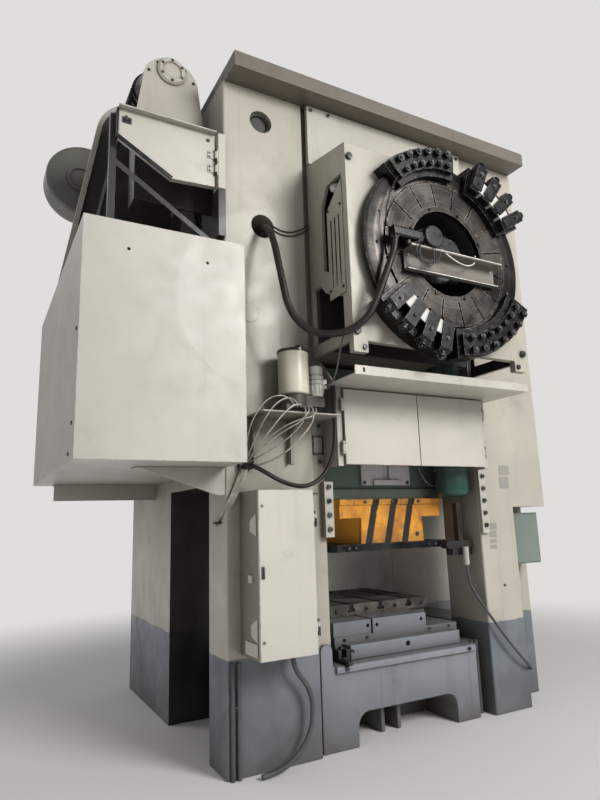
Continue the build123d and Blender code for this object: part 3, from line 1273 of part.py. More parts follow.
def cabinet_door():
    x = (CABINET_LEFT, CABINET_LEFT + CABINET_WIDTH)
    z = (CABINET_LOW, CABINET_LOW + CABINET_HEIGHT)
    front = FRONT - CABINET_DEPTH
    door = block(x, (front, front + 19), z)
    door = fillet(door.edges().group_by(Axis.Y)[0], 5)
    for height in CABINET_HINGE_HEIGHTS:
        door += block((x[1] - 30, CABINET_HINGE_X), (CABINET_HINGE_Y - 4, CABINET_HINGE_Y + 4),
                      (height, height + 60))
        door += rod_z(CABINET_HINGE_X, CABINET_HINGE_Y, 9, (height, height + 60))
        door -= rod_z(CABINET_HINGE_X, CABINET_HINGE_Y, 4 + RUNNING_FIT, (height - 1, height + 61))
    return door


def cabinet_hinges():
    pieces = []
    wall = CABINET_LEFT + CABINET_WIDTH
    for height in CABINET_HINGE_HEIGHTS:
        hinge = rod_z(CABINET_HINGE_X, CABINET_HINGE_Y, 4, (height - 20, height + 80))
        for low in (height - 20, height + 61):
            hinge += rod_z(CABINET_HINGE_X, CABINET_HINGE_Y, 9, (low, low + 19))
            hinge += block((wall, CABINET_HINGE_X + 9), (CABINET_HINGE_Y, CABINET_HINGE_Y + 60),
                           (low, low + 19))
        pieces.append(hinge)
    return pieces


def cabinet_plates():
    """Two flared cover plates, a latch and a small plate on the cabinet's left side."""
    x = (CABINET_LEFT - 6, CABINET_LEFT)
    pieces = []
    for z in (1590, 905):
        pieces.append(plate_x([(-1690, z - 10), (-1590, z + 20), (-1590, z + 90), (-1690, z + 140)], x))
    pieces.append(block((CABINET_LEFT - 14, CABINET_LEFT), (-1620, -1570), (1270, 1320)))
    pieces.append(block(x, (-1690, -1490), (800, 885)))
    return pieces


def control_box():
    x = (CONTROL_LEFT, CONTROL_LEFT + CONTROL_WIDTH)
    back = FRONT + CORNER_CUT_DEPTH
    body = block(x, (back - CONTROL_DEPTH, back), (CONTROL_LOW, CONTROL_LOW + CONTROL_HEIGHT))
    body = fillet(body.edges().filter_by(Axis.Z), 10)
    lid = block((x[0] + 12, x[1] - 12), (back - CONTROL_DEPTH - 8, back - CONTROL_DEPTH),
                (CONTROL_LOW + 12, CONTROL_LOW + CONTROL_HEIGHT - 12))
    return body + lid


def sight_plate():
    y0 = FRONT + STRIP_STEP
    frame = block((-896, -800), (y0 - 12, y0), (2190, 2340))
    return frame - block((-886, -810), (y0 - 13, y0 - 6), (2200, 2330))


# Lubrication unit
def lube_platform():
    x = (PLATFORM_LEFT, PLATFORM_LEFT + PLATFORM_WIDTH)
    front = FRONT - PLATFORM_DEPTH
    deck = block(x, (front, FRONT), (PLATFORM_Z, PLATFORM_Z + 12))
    pieces = [deck]
    for left in (x[0] + 40, x[0] + 350):
        leg = block((left, left + 8), (FRONT - 60, FRONT), (PLATFORM_Z - 340, PLATFORM_Z))
        leg += block((left, left + 60), (FRONT - 8, FRONT), (PLATFORM_Z - 340, PLATFORM_Z))
        leg += plate_x([(FRONT, PLATFORM_Z), (front + 30, PLATFORM_Z), (FRONT, PLATFORM_Z - 150)],
                       (left, left + 8))
        pieces.append(leg)
    return fused(pieces)


def lube_reservoir():
    low = PLATFORM_Z + 12 + PUMP_HEIGHT
    body = rod_z(RESERVOIR_X, RESERVOIR_Y, RESERVOIR_RADIUS, (low, low + RESERVOIR_HEIGHT))
    body = fillet(body.edges().group_by(Axis.Z)[0], 18)
    return group([body, reservoir_lid()])


def reservoir_lid():
    top = PLATFORM_Z + 12 + PUMP_HEIGHT + RESERVOIR_HEIGHT
    lid = rod_z(RESERVOIR_X, RESERVOIR_Y, RESERVOIR_RADIUS + 5, (top, top + 20))
    return fillet(lid.edges().group_by(Axis.Z)[-1], 6)


def lube_pump():
    low = PLATFORM_Z + 12
    base = rod_z(RESERVOIR_X, RESERVOIR_Y, 96, (low + 60, low + PUMP_HEIGHT))
    foot = block((RESERVOIR_X - 110, RESERVOIR_X + 110), (RESERVOIR_Y - 90, RESERVOIR_Y + 90),
                 (low, low + 60))
    bridge = block((RESERVOIR_X, PUMP_MOTOR_X + 45), (RESERVOIR_Y - 45, RESERVOIR_Y + 45),
                   (low + 70, low + PUMP_HEIGHT))
    outlets = []
    for index in range(7):
        x = RESERVOIR_X - 90 + 30 * index
        outlets.append(rod_y(x, low + 32, 9, (RESERVOIR_Y - 130, RESERVOIR_Y - 90)))
    return group([fused([base, foot, bridge] + outlets), pump_motor()])


def pump_motor():
    low = PLATFORM_Z + 12 + PUMP_HEIGHT
    body = rod_z(PUMP_MOTOR_X, RESERVOIR_Y, PUMP_MOTOR_RADIUS, (low, low + 180))
    cowl = rod_z(PUMP_MOTOR_X, RESERVOIR_Y, PUMP_MOTOR_RADIUS + 4, (low + 180, low + 245))
    cowl = fillet(cowl.edges().group_by(Axis.Z)[-1], 14)
    fin = Box(2 * PUMP_MOTOR_RADIUS + 14, 4, 150)
    fins = [Pos(PUMP_MOTOR_X, RESERVOIR_Y, low + 100) * Rot(0, 0, 30 * index) * fin for index in range(6)]
    box = block((PUMP_MOTOR_X + 46, PUMP_MOTOR_X + 76), (RESERVOIR_Y - 34, RESERVOIR_Y + 34),
                (low + 70, low + 140))
    return fused([body, cowl, box] + fins)


# Conduits, hoses and cables
def conduits():
    """Conduits that stand against the bed and the left upright."""
    pieces = [rod_z(x, FRONT - 15 - SEAT_GAP, 15, (0, 730)) for x in (-1622, -1576)]
    pieces += [rod_z(x, BED_BODY_FRONT - 17 - SEAT_GAP, 17, (0, BED_TOP + 10)) for x in (690, 740)]
    return group(pieces)


def tube(points, radius):
    """Round cord along straight runs joined by tangent arcs."""
    path = FilletPolyline(*points, radius=corner_radii(points))
    return sweep(Plane(origin=path @ 0, z_dir=path % 0) * Circle(radius), path=path)


def corner_radii(points):
    """Radius of each corner, as large as its shorter run allows."""
    radii = []
    for before, corner, after in zip(points, points[1:], points[2:]):
        a = Vector(*corner) - Vector(*before)
        b = Vector(*after) - Vector(*corner)
        radii.append(0.45 * min(a.length, b.length) / math.tan(math.radians(a.get_angle(b)) / 2))
    return radii


MAIN_HOSE_RADIUS = 27
MAIN_HOSE = [(-1326, -1100.5, 4046), (-1328, -1260, 4044), (-1334, -1425, 4026), (-1342, -1570, 3930),
             (-1348, -1665, 3765),
             (-1345, -1720, 3580), (-1335, -1765, 3400), (-1310, -1780, 3233), (-1249, -1816, 3101),
             (-1150, -1875, 3013),
             (-1030, -1970, 2986), (-912, -2052, 3022), (-815, -2108, 3118), (-752, -2140, 3261),
             (-695, -2160, 3415),
             (-642, -2178, 3560), (-605, -2182, 3655), (-594, -2181, 3741.3)]
DRAIN_HOSE_RADIUS = 16
DRAIN_HOSE_ROUTE = [(-28, 0.5, 2085), (-27, 72, 2084), (-19, 142, 2074), (5, 204, 2050),
                    (52, 244, 2014), (118, 256, 1975), (200, 248, 1942), (290, 234, 1922),
                    (382, 220, 1920), (468, 208, 1946), (545, 202, 2000), (604, 200, 2078),
                    (642, 200, 2170), (660, 200, 2268), (667, 200, 2370), (669, 200, 2474),
                    (668, 200, 2580), (667, 200, 2699)]
DRAIN_HOSE = [(PLATFORM_LEFT + x, FRONT - y, z) for x, y, z in DRAIN_HOSE_ROUTE]
PUMP_CABLE_RADIUS = 6
PUMP_CABLE_ROUTE = [(-21, 205.2, 2700), (-22, 232, 2697), (-26, 268, 2692), (-32, 312, 2692),
                    (-39, 356, 2704), (-45, 396, 2730), (-50, 430, 2768), (-53, 458, 2814),
                    (-54, 480, 2862), (-52, 497, 2908), (-48, 509, 2948), (-41, 516, 2982),
                    (-31, 520, 3010), (-17, 522, 3030), (-5.2, 523, 3042)]
PUMP_CABLE = [(-HOUSING_WIDTH / 2 + x, FRONT - y, z) for x, y, z in PUMP_CABLE_ROUTE]
CABINET_CABLE_RADIUS = 18
CABINET_CABLE = [(-1205, -1500, 778), (-1198, -1500, 700), (-1165, -1498, 625), (-1112, -1494, 565),
                 (-1068, -1490, 495),
                 (-1046, -1488, 410), (-1046, -1488, 320), (-1070, -1490, 230), (-1118, -1494, 155),
                 (-1185, -1498, 95),
                 (-1265, -1500, 50), (-1355, -1500, 25), (-1450, -1500, 18.5)]
WINDOW_CABLE_RADIUS = 11
WINDOW_CABLE = [(668, -1316, 1239.7), (669, -1318, 1120), (690, -1360, 1010), (730, -1415, 895),
                (795, -1455, 775),
                (880, -1470, 655), (980, -1475, 540), (1085, -1470, 435), (1190, -1448, 350),
                (1280, -1385, 305),
                (1330, -1290, 290), (1348, -1190, 287), (1350, -1100.7, 286)]

PARTS = {
    "left_upright": left_upright(),
    "right_upright": right_upright(),
    "bed": bed(),
    "crown": crown(),
    "crown_cap": crown_cap(),
    "tie_rods": tie_rods(),
    "name_panel": name_panel(),
    "hex_bolts": hex_bolts(),
    "shaft_bushes": shaft_bushes(),
    "eccentric_shaft": eccentric_shaft(),
    "connecting_rod": connecting_rod(),
    "wrist_pin": wrist_pin(),
    "bull_gear": bull_gear(),
    "pinion_shaft": pinion_shaft(),
    "flywheel": flywheel(),
    "side_brackets": side_brackets(),
    "motor_pulley": motor_pulley(),
    "drive_belts": drive_belts(),
    "main_motor": main_motor(),
    "motor_blower": motor_blower(),
    "flywheel_box": flywheel_box(),
    "box_panel": box_panel(),
    "belt_guard_front": belt_guard_front(),
    "belt_guard_rear": belt_guard_rear(),
    "flap_frame": flap_frame(),
    "flap": flap(),
    "gear_guard": gear_guard(),
    "ram": ram(),
    "ram_cover": ram_cover(),
    "ram_gibs": ram_gibs(),
    "die_holder": die_holder(),
    "upper_die_plate": upper_die_plate(),
    "upper_ejector": upper_ejector(),
    "balance_cylinder": balance_cylinder(),
    "sensor_bracket": sensor_bracket(),
    "wedge": wedge(),
    "table": table(),
    "bolster_plate": bolster_plate(),
    "lower_ejector": lower_ejector(),
    "brake_housing": brake_housing(),
    "brake_rotor": brake_rotor(),
    "brake_calipers": brake_calipers(),
    "shaft_bracket": shaft_bracket(),
    "rotary_union": rotary_union(),
    "door_shelf": door_shelf(),
    "left_door": front_door(-1),
    "right_door": front_door(1),
    "guide_plates": guide_plates(),
    "cabinet_body": cabinet_body(),
    "cabinet_door": cabinet_door(),
    "control_box": control_box(),
    "lube_platform": lube_platform(),
    "lube_reservoir": lube_reservoir(),
    "lube_pump": lube_pump(),
    "conduits": conduits(),
}
CORDS = {
    "main_hose": (MAIN_HOSE, MAIN_HOSE_RADIUS),
    "drain_hose": (DRAIN_HOSE, DRAIN_HOSE_RADIUS),
    "cabinet_cable": (CABINET_CABLE, CABINET_CABLE_RADIUS),
    "window_cable": (WINDOW_CABLE, WINDOW_CABLE_RADIUS),
    "pump_cable": (PUMP_CABLE, PUMP_CABLE_RADIUS),
}

os.makedirs("parts", exist_ok=True)
for name, (points, radius) in CORDS.items():
    PARTS[name] = tube(points, radius)
    path = FilletPolyline(*points, radius=corner_radii(points))
    section = math.pi * radius ** 2
    print(name, "length", round(path.length), "smallest bend", round(min(corner_radii(points))),
          "volume ratio", round(PARTS[name].volume / (section * path.length), 4))
for name, shape in PARTS.items():
    shape.label = name
    export_step(shape, f"parts/{name}.step")
    print(name, len(shape.solids()), "solids")
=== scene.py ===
import json
import math
import random

import bmesh
import bpy
from mathutils import Matrix, Vector


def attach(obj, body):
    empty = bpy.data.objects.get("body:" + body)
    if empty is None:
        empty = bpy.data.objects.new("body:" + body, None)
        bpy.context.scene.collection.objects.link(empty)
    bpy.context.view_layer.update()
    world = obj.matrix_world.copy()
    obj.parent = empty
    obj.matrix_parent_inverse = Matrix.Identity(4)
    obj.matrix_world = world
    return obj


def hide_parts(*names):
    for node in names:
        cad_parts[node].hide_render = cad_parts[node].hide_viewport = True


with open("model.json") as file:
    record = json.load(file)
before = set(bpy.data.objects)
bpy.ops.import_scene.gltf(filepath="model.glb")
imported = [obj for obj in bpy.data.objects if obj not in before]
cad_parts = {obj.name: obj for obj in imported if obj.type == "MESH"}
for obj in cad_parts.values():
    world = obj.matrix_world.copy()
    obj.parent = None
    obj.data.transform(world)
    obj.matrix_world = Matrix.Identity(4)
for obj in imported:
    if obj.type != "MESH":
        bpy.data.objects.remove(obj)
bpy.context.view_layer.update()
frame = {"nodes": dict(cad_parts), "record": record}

NODES = frame["nodes"]


# Camera
CAMERA_PLACE = Vector((-3.273, -5.508, 1.67))
CAMERA_YAW = math.radians(28.705)
CAMERA_PITCH = math.radians(11.38)
CAMERA_ROLL = math.radians(1.797)
CAMERA_LENS = 27.1


def make_camera():
    """Stands where the photograph was taken from."""
    data = bpy.data.cameras.new("photo_camera")
    data.sensor_width = 36
    data.lens = CAMERA_LENS
    data.clip_end = 200
    camera = bpy.data.objects.new("photo_camera", data)
    bpy.context.scene.collection.objects.link(camera)
    level = math.cos(CAMERA_PITCH)
    forward = Vector((math.sin(CAMERA_YAW) * level, math.cos(CAMERA_YAW) * level, math.sin(CAMERA_PITCH)))
    level_right = Vector((math.cos(CAMERA_YAW), -math.sin(CAMERA_YAW), 0))
    level_down = -level_right.cross(forward)
    c, s = math.cos(CAMERA_ROLL), math.sin(CAMERA_ROLL)
    right = c * level_right + s * level_down
    up = s * level_right - c * level_down
    turn = Matrix((right, up, -forward)).transposed().to_4x4()
    camera.matrix_world = Matrix.Translation(CAMERA_PLACE) @ turn
    bpy.context.scene.camera = camera


make_camera()


# Free hoses and cables: the same routes as in the solid model, in metres
MAIN_HOSE = [(-1.326, -1.1005, 4.046), (-1.328, -1.260, 4.044), (-1.334, -1.425, 4.026), (-1.342, -1.570, 3.930),
             (-1.348, -1.665, 3.765), (-1.345, -1.720, 3.580), (-1.335, -1.765, 3.400), (-1.310, -1.780, 3.233),
             (-1.249, -1.816, 3.101), (-1.150, -1.875, 3.013), (-1.030, -1.970, 2.986), (-0.912, -2.052, 3.022),
             (-0.815, -2.108, 3.118), (-0.752, -2.140, 3.261), (-0.695, -2.160, 3.415), (-0.642, -2.178, 3.560),
             (-0.605, -2.182, 3.655), (-0.594, -2.181, 3.7413)]
DRAIN_HOSE = [(-1.528, -1.4005, 2.085), (-1.527, -1.472, 2.084), (-1.519, -1.542, 2.074), (-1.495, -1.604, 2.05),
              (-1.448, -1.644, 2.014), (-1.382, -1.656, 1.975), (-1.3, -1.648, 1.942), (-1.21, -1.634, 1.922),
              (-1.118, -1.62, 1.92), (-1.032, -1.608, 1.946), (-0.955, -1.602, 2), (-0.896, -1.6, 2.078),
              (-0.858, -1.6, 2.17), (-0.84, -1.6, 2.268), (-0.833, -1.6, 2.37), (-0.831, -1.6, 2.474),
              (-0.832, -1.6, 2.58), (-0.833, -1.6, 2.699)]
PUMP_CABLE = [(-0.911, -1.6052, 2.7), (-0.912, -1.632, 2.697), (-0.916, -1.668, 2.692), (-0.922, -1.712, 2.692),
              (-0.929, -1.756, 2.704), (-0.935, -1.796, 2.73), (-0.94, -1.83, 2.768), (-0.943, -1.858, 2.814),
              (-0.944, -1.88, 2.862), (-0.942, -1.897, 2.908), (-0.938, -1.909, 2.948), (-0.931, -1.916, 2.982),
              (-0.921, -1.92, 3.01), (-0.907, -1.922, 3.03), (-0.8952, -1.923, 3.042)]
CABINET_CABLE = [(-1.205, -1.500, 0.778), (-1.198, -1.500, 0.700), (-1.165, -1.498, 0.625), (-1.112, -1.494, 0.565),
                 (-1.068, -1.490, 0.495), (-1.046, -1.488, 0.410), (-1.046, -1.488, 0.320), (-1.070, -1.490, 0.230),
                 (-1.118, -1.494, 0.155), (-1.185, -1.498, 0.095), (-1.265, -1.500, 0.050), (-1.355, -1.500, 0.025),
                 (-1.450, -1.500, 0.0185)]
WINDOW_CABLE = [(0.668, -1.316, 1.2397), (0.669, -1.318, 1.120), (0.690, -1.360, 1.010), (0.730, -1.415, 0.895),
                (0.795, -1.455, 0.775), (0.880, -1.470, 0.655), (0.980, -1.475, 0.540), (1.085, -1.470, 0.435),
                (1.190, -1.448, 0.350), (1.280, -1.385, 0.305), (1.330, -1.290, 0.290), (1.348, -1.190, 0.287),
                (1.350, -1.1007, 0.286)]


def cord_curve(name, points, radius):
    """A round tube along a smooth curve that is drawn by its points."""
    curve = bpy.data.curves.new(name, "CURVE")
    curve.dimensions = "3D"
    curve.bevel_depth = radius
    curve.bevel_resolution = 6
    curve.resolution_u = 10
    curve.use_fill_caps = True
    spline = curve.splines.new("NURBS")
    spline.points.add(len(points) - 1)
    for control, place in zip(spline.points, points):
        control.co = (*place, 1)
    spline.order_u = 3
    spline.use_endpoint_u = True
    obj = bpy.data.objects.new(name, curve)
    bpy.context.scene.collection.objects.link(obj)
    return obj


# Materials
def hue(code):
    """Linear colour from a written sRGB hex code."""
    parts = [int(code[i:i + 2], 16) / 255 for i in (1, 3, 5)]
    return tuple(p / 12.92 if p <= 0.04045 else ((p + 0.055) / 1.055) ** 2.4 for p in parts) + (1,)


NOISE_ROUGHNESS = 0.6


class Shader:
    """A material with its principled shader and short calls for the nodes that feed it."""

    def __init__(self, name, metallic=0.0, specular=0.5, coat=0.0):
        self.material = bpy.data.materials.new(name)
        self.material.use_nodes = True
        self.tree = self.material.node_tree
        self.out = self.tree.nodes["Principled BSDF"]
        self.out.inputs["Metallic"].default_value = metallic
        self.out.inputs["Specular IOR Level"].default_value = specular
        self.out.inputs["Coat Weight"].default_value = coat
        self.coord = self.node("ShaderNodeTexCoord").outputs["Object"]

    def node(self, kind, **settings):
        node = self.tree.nodes.new(kind)
        for key, value in settings.items():
            setattr(node, key, value)
        return node

    def feed(self, socket, value):
        if hasattr(value, "is_linked"):
            self.tree.links.new(value, socket)
        else:
            socket.default_value = value

    def noise(self, scale, detail=6.0, stretch=(1, 1, 1)):
        """Noise over the piece's own coordinates, which stretch multiplies by axis."""
        mapping = self.node("ShaderNodeMapping")
        self.feed(mapping.inputs["Vector"], self.coord)
        mapping.inputs["Scale"].default_value = stretch
        noise = self.node("ShaderNodeTexNoise")
        self.feed(noise.inputs["Vector"], mapping.outputs["Vector"])
        noise.inputs["Scale"].default_value = scale
        noise.inputs["Detail"].default_value = detail
        noise.inputs["Roughness"].default_value = NOISE_ROUGHNESS
        return noise.outputs["Fac"]

    def span(self, value, low, high, to_low=0.0, to_high=1.0):
        """Smooth ramp of a value between two limits, from to_low to to_high."""
        node = self.node("ShaderNodeMapRange")
        node.interpolation_type = "SMOOTHSTEP"
        self.feed(node.inputs["Value"], value)
        for key, number in zip(("From Min", "From Max", "To Min", "To Max"), (low, high, to_low, to_high)):
            node.inputs[key].default_value = number
        return node.outputs["Result"]

    def math(self, kind, a, b=0.0):
        node = self.node("ShaderNodeMath", operation=kind, use_clamp=False)
        self.feed(node.inputs[0], a)
        self.feed(node.inputs[1], b)
        return node.outputs[0]

    def mix(self, share, a, b):
        node = self.node("ShaderNodeMix", data_type="RGBA")
        self.feed(node.inputs[0], share)
        self.feed(node.inputs[6], a)
        self.feed(node.inputs[7], b)
        return node.outputs[2]

    def axis(self, index):
        node = self.node("ShaderNodeSeparateXYZ")
        self.feed(node.inputs[0], self.coord)
        return node.outputs[index]

    def inside(self, low, high):
        """1 inside the block between two corners, 0 outside it."""
        share = 1.0
        for index in range(3):
            value = self.axis(index)
            share = self.math("MULTIPLY", self.span(value, low[index], low[index] + 0.004), share)
            share = self.math("MULTIPLY", self.span(value, high[index], high[index] - 0.004), share)
        return share

    def crevice(self, distance):
        """1 in corners and hollows, 0 on open faces."""
        node = self.node("ShaderNodeAmbientOcclusion", samples=4)
        node.inputs["Distance"].default_value = distance
        return self.span(node.outputs["AO"], 0.35, 0.95, 1.0, 0.0)

    def edge(self, radius):
        """1 along outer and inner edges, 0 on open faces."""
        bevel = self.node("ShaderNodeBevel", samples=4)
        bevel.inputs["Radius"].default_value = radius
        plain = self.node("ShaderNodeNewGeometry")
        dot = self.node("ShaderNodeVectorMath", operation="DOT_PRODUCT")
        self.feed(dot.inputs[0], bevel.outputs["Normal"])
        self.feed(dot.inputs[1], plain.outputs["Normal"])
        return self.span(dot.outputs["Value"], 0.995, 0.9, 0.0, 1.0)

    def bump(self, height, strength, distance=0.01):
        node = self.node("ShaderNodeBump")
        node.inputs["Strength"].default_value = strength
        node.inputs["Distance"].default_value = distance
        self.feed(node.inputs["Height"], height)
        self.feed(self.out.inputs["Normal"], node.outputs["Normal"])

    def done(self, colour, roughness):
        self.feed(self.out.inputs["Base Color"], colour)
        self.feed(self.out.inputs["Roughness"], roughness)
        return self.material


# The stand is slate below this height and light above it
PAINT_SPLIT = 0.75
SLATE = hue("#8a9199")
SLATE_DARK = hue("#6b727a")
# Grime tone, which also serves as the painted shade in corners and hollows
GRIME_AND_SHADE_TONE = hue("#4a4338")

# Places in deep shade that are painted near black as painted shade, each a block between two corners
PAINTED_SHADE_TONE = hue("#1b1917")
BEHIND_BRAKE = ((-0.858, -1.944, 2.70), (0.858, -1.380, 4.532))
STAND_SIDE = ((-1.70, -1.30, 3.4), (-1.655, 0.06, 4.74))
DRIVE_WELL = ((-2.52, -1.115, 3.5), (-1.60, 0.09, 4.74))
GUARD_REAR_WELL = ((-2.75, 0.05, 3.5), (-1.60, 0.064, 6.1))
WINDOW_WALLS = ((-1.66, -1.07, -0.1), (-0.75, -0.03, 2.0))
HOSE_HOLE = ((-1.45, -1.396, 4.86), (-1.19, -1.0, 5.14))

# Height of the eccentric shaft's axis, and radius of the brake disc's bore
SHAFT_Z = 3.76
BRAKE_BORE = 0.365

# Bolted covers on the back of the gear guard: centre X and Z, radius, number of bolts
GUARD_COVERS = ((0.0, SHAFT_Z, 0.46, 16), (-1.95, 2.869, 0.30, 10))
GUARD_BOLT_MARGIN = 0.045
GUARD_JOINT_Z = 3.30


def gear_guard_enamel():
    """Sheet enamel with two bolted bearing covers and the joint between the guard's halves."""
    s = Shader("gear_guard_enamel", coat=0.08)
    paint = s.mix(s.span(s.noise(0.9, 5), 0.35, 0.7), hue("#aba599"), hue("#c6c0b4"))
    paint = s.mix(s.span(s.noise(1.1, 8, (7, 7, 0.3)), 0.56, 0.78, 0.0, 0.3), paint, GRIME_AND_SHADE_TONE)
    paint = s.mix(s.span(s.noise(3.2, 10), 0.56, 0.75, 0.0, 0.3), paint, GRIME_AND_SHADE_TONE)
    on_back = s.span(s.axis(1), 1.950, 1.958)
    raised, lines = 0.0, 0.0
    for x0, z0, radius, count in GUARD_COVERS:
        x, z = s.math("SUBTRACT", s.axis(0), x0), s.math("SUBTRACT", s.axis(2), z0)
        reach = s.math("SQRT", s.math("ADD", s.math("MULTIPLY", x, x), s.math("MULTIPLY", z, z)))
        angle = s.math("ARCTAN2", z, x)
        step = 2 * math.pi / count
        nearest = s.math("SNAP", s.math("ADD", angle, step / 2), step)
        along = s.math("MULTIPLY", s.math("SUBTRACT", angle, nearest), radius - GUARD_BOLT_MARGIN)
        across = s.math("SUBTRACT", reach, radius - GUARD_BOLT_MARGIN)
        away = s.math("SQRT", s.math("ADD", s.math("MULTIPLY", along, along), s.math("MULTIPLY", across, across)))
        raised = s.math("ADD", raised, s.span(away, 0.018, 0.015))
        raised = s.math("ADD", raised, s.span(reach, radius + 0.003, radius - 0.003))
        rim = s.math("ABSOLUTE", s.math("SUBTRACT", reach, radius + 0.003))
        lines = s.math("MAXIMUM", lines, s.span(rim, 0.006, 0.002))
        lines = s.math("MAXIMUM", lines, s.span(s.math("ABSOLUTE", s.math("SUBTRACT", away, 0.018)), 0.006, 0.002))
    joint = s.math("ABSOLUTE", s.math("SUBTRACT", s.axis(2), GUARD_JOINT_Z))
    lines = s.math("MAXIMUM", s.math("MULTIPLY", lines, on_back), s.span(joint, 0.005, 0.002))
    paint = s.mix(s.math("MULTIPLY", lines, 0.75), paint, hue("#26231f"))
    s.bump(s.math("MULTIPLY", raised, on_back), 0.9, 0.012)
    return s.done(paint, s.span(s.noise(5, 6), 0.3, 0.7, 0.36, 0.56))


def enamel(name, colour, low=False, grime_and_shade=0.35, streaks=0.3, wear=0.5, rough=0.42, chip="#5a554d", shade_blocks=(),
           patches=()):
    """Sprayed machine enamel: slight colour drift, drips, grime in corners and chipped edges.

    low paints the foot slate; each block in the shade list is painted near black as painted shade; patches lists
    blocks in another colour.
    """
    s = Shader(name, coat=0.08)
    colour = hue(colour)
    darker = tuple(c * 0.86 for c in colour[:3]) + (1,)
    paint = s.mix(s.span(s.noise(0.9, 5), 0.35, 0.7), darker, colour)
    if low:
        height = s.math("ADD", s.axis(2), s.span(s.noise(9, 3), 0.3, 0.7, -0.006, 0.006))
        slate = s.mix(s.span(s.noise(1.4, 6), 0.35, 0.7), SLATE_DARK, SLATE)
        paint = s.mix(s.span(height, PAINT_SPLIT - 0.002, PAINT_SPLIT + 0.002), slate, paint)
    paint = s.mix(s.span(s.noise(1.1, 8, (7, 7, 0.3)), 0.56, 0.78, 0.0, streaks), paint, GRIME_AND_SHADE_TONE)
    paint = s.mix(s.span(s.noise(3.2, 10), 0.56, 0.75, 0.0, grime_and_shade), paint, GRIME_AND_SHADE_TONE)
    # Grime and painted shade: corners found by occlusion are darkened with the grime tone
    paint = s.mix(s.math("MULTIPLY", s.crevice(0.16), grime_and_shade * 1.3), paint, GRIME_AND_SHADE_TONE)
    chips = s.math("MULTIPLY", s.edge(0.012), s.span(s.noise(14, 8), 0.47, 0.56, 0.0, wear))
    paint = s.mix(chips, paint, hue(chip))
    splashes = s.span(s.noise(2.4, 8), 0.3, 0.7, 0.15, 0.8 * grime_and_shade + 0.2)
    paint = s.mix(s.math("MULTIPLY", s.span(s.axis(2), 0.5, 0.0), splashes), paint, GRIME_AND_SHADE_TONE)
    # Painted shade: wide hollows found by occlusion over about a metre are darkened
    paint = s.mix(s.math("MULTIPLY", s.crevice(1.1), 0.5), paint, GRIME_AND_SHADE_TONE)
    for low_corner, high_corner, tone in patches:
        paint = s.mix(s.inside(low_corner, high_corner), paint, hue(tone))
    # Painted shade: each listed block, which lies in shade, is painted near black
    for low_corner, high_corner in shade_blocks:
        paint = s.mix(s.math("MULTIPLY", s.inside(low_corner, high_corner), 0.93), paint, PAINTED_SHADE_TONE)
    waves = s.math("MULTIPLY", s.noise(1.7, 2), 0.45)
    s.bump(s.math("ADD", waves, s.math("MULTIPLY", s.noise(90, 3), 0.05)), 0.12, 0.02)
    return s.done(paint, s.span(s.noise(5, 6), 0.3, 0.7, rough - 0.08, rough + 0.14))


def steel(name, light, dark, rough=0.4, metallic=0.85, oil=0.4, scale=3.0):
    """Machined or worn steel with oil stains, fine scratches, and oil with painted shade darkening its hollows."""
    s = Shader(name, metallic=metallic)
    tone = s.mix(s.span(s.noise(scale, 8), 0.36, 0.66), hue(dark), hue(light))
    stain = s.span(s.noise(scale * 2.3, 9), 0.52, 0.68, 0.0, oil)
    tone = s.mix(stain, tone, hue("#14120f"))
    # Oil and painted shade: hollows found by occlusion are darkened towards near black
    tone = s.mix(s.math("MULTIPLY", s.crevice(0.06), 0.6), tone, hue("#14120f"))
    rubbed = s.math("MULTIPLY", s.edge(0.008), s.span(s.noise(22, 6), 0.42, 0.6, 0.0, 0.7))
    tone = s.mix(rubbed, tone, hue("#a9a7a2"))
    s.bump(s.math("ADD", s.noise(130, 3), s.math("MULTIPLY", s.noise(8, 6), 1.5)), 0.14, 0.004)
    return s.done(tone, s.span(s.noise(scale * 3, 7), 0.3, 0.7, rough - 0.12, rough + 0.18))


def rubber(name, colour, ribs=0.0, rough=0.6, dust=0.3):
    """Rubber or plastic sheath, dusted, with fine ribs where it is a braided hose."""
    s = Shader(name, specular=0.4)
    darker = tuple(c * 0.7 for c in hue(colour)[:3]) + (1,)
    tone = s.mix(s.span(s.noise(6, 6), 0.35, 0.7), darker, hue(colour))
    tone = s.mix(s.span(s.noise(14, 8), 0.55, 0.75, 0.0, dust), tone, hue("#8b8374"))
    s.bump(s.noise(160 if ribs else 60, 3), 0.15 + ribs, 0.003)
    return s.done(tone, s.span(s.noise(9, 5), 0.3, 0.7, rough - 0.1, rough + 0.15))


# Slanted stripes across the front of the upper die holder, as in the solid model
STRIPE_CENTRES = (-0.215, -0.015, 0.170)
STRIPE_WIDTH = 0.066
STRIPE_LEAN = 0.095 / 0.375
STRIPE_MIDDLE_Z = 1.840 - 0.375 / 2


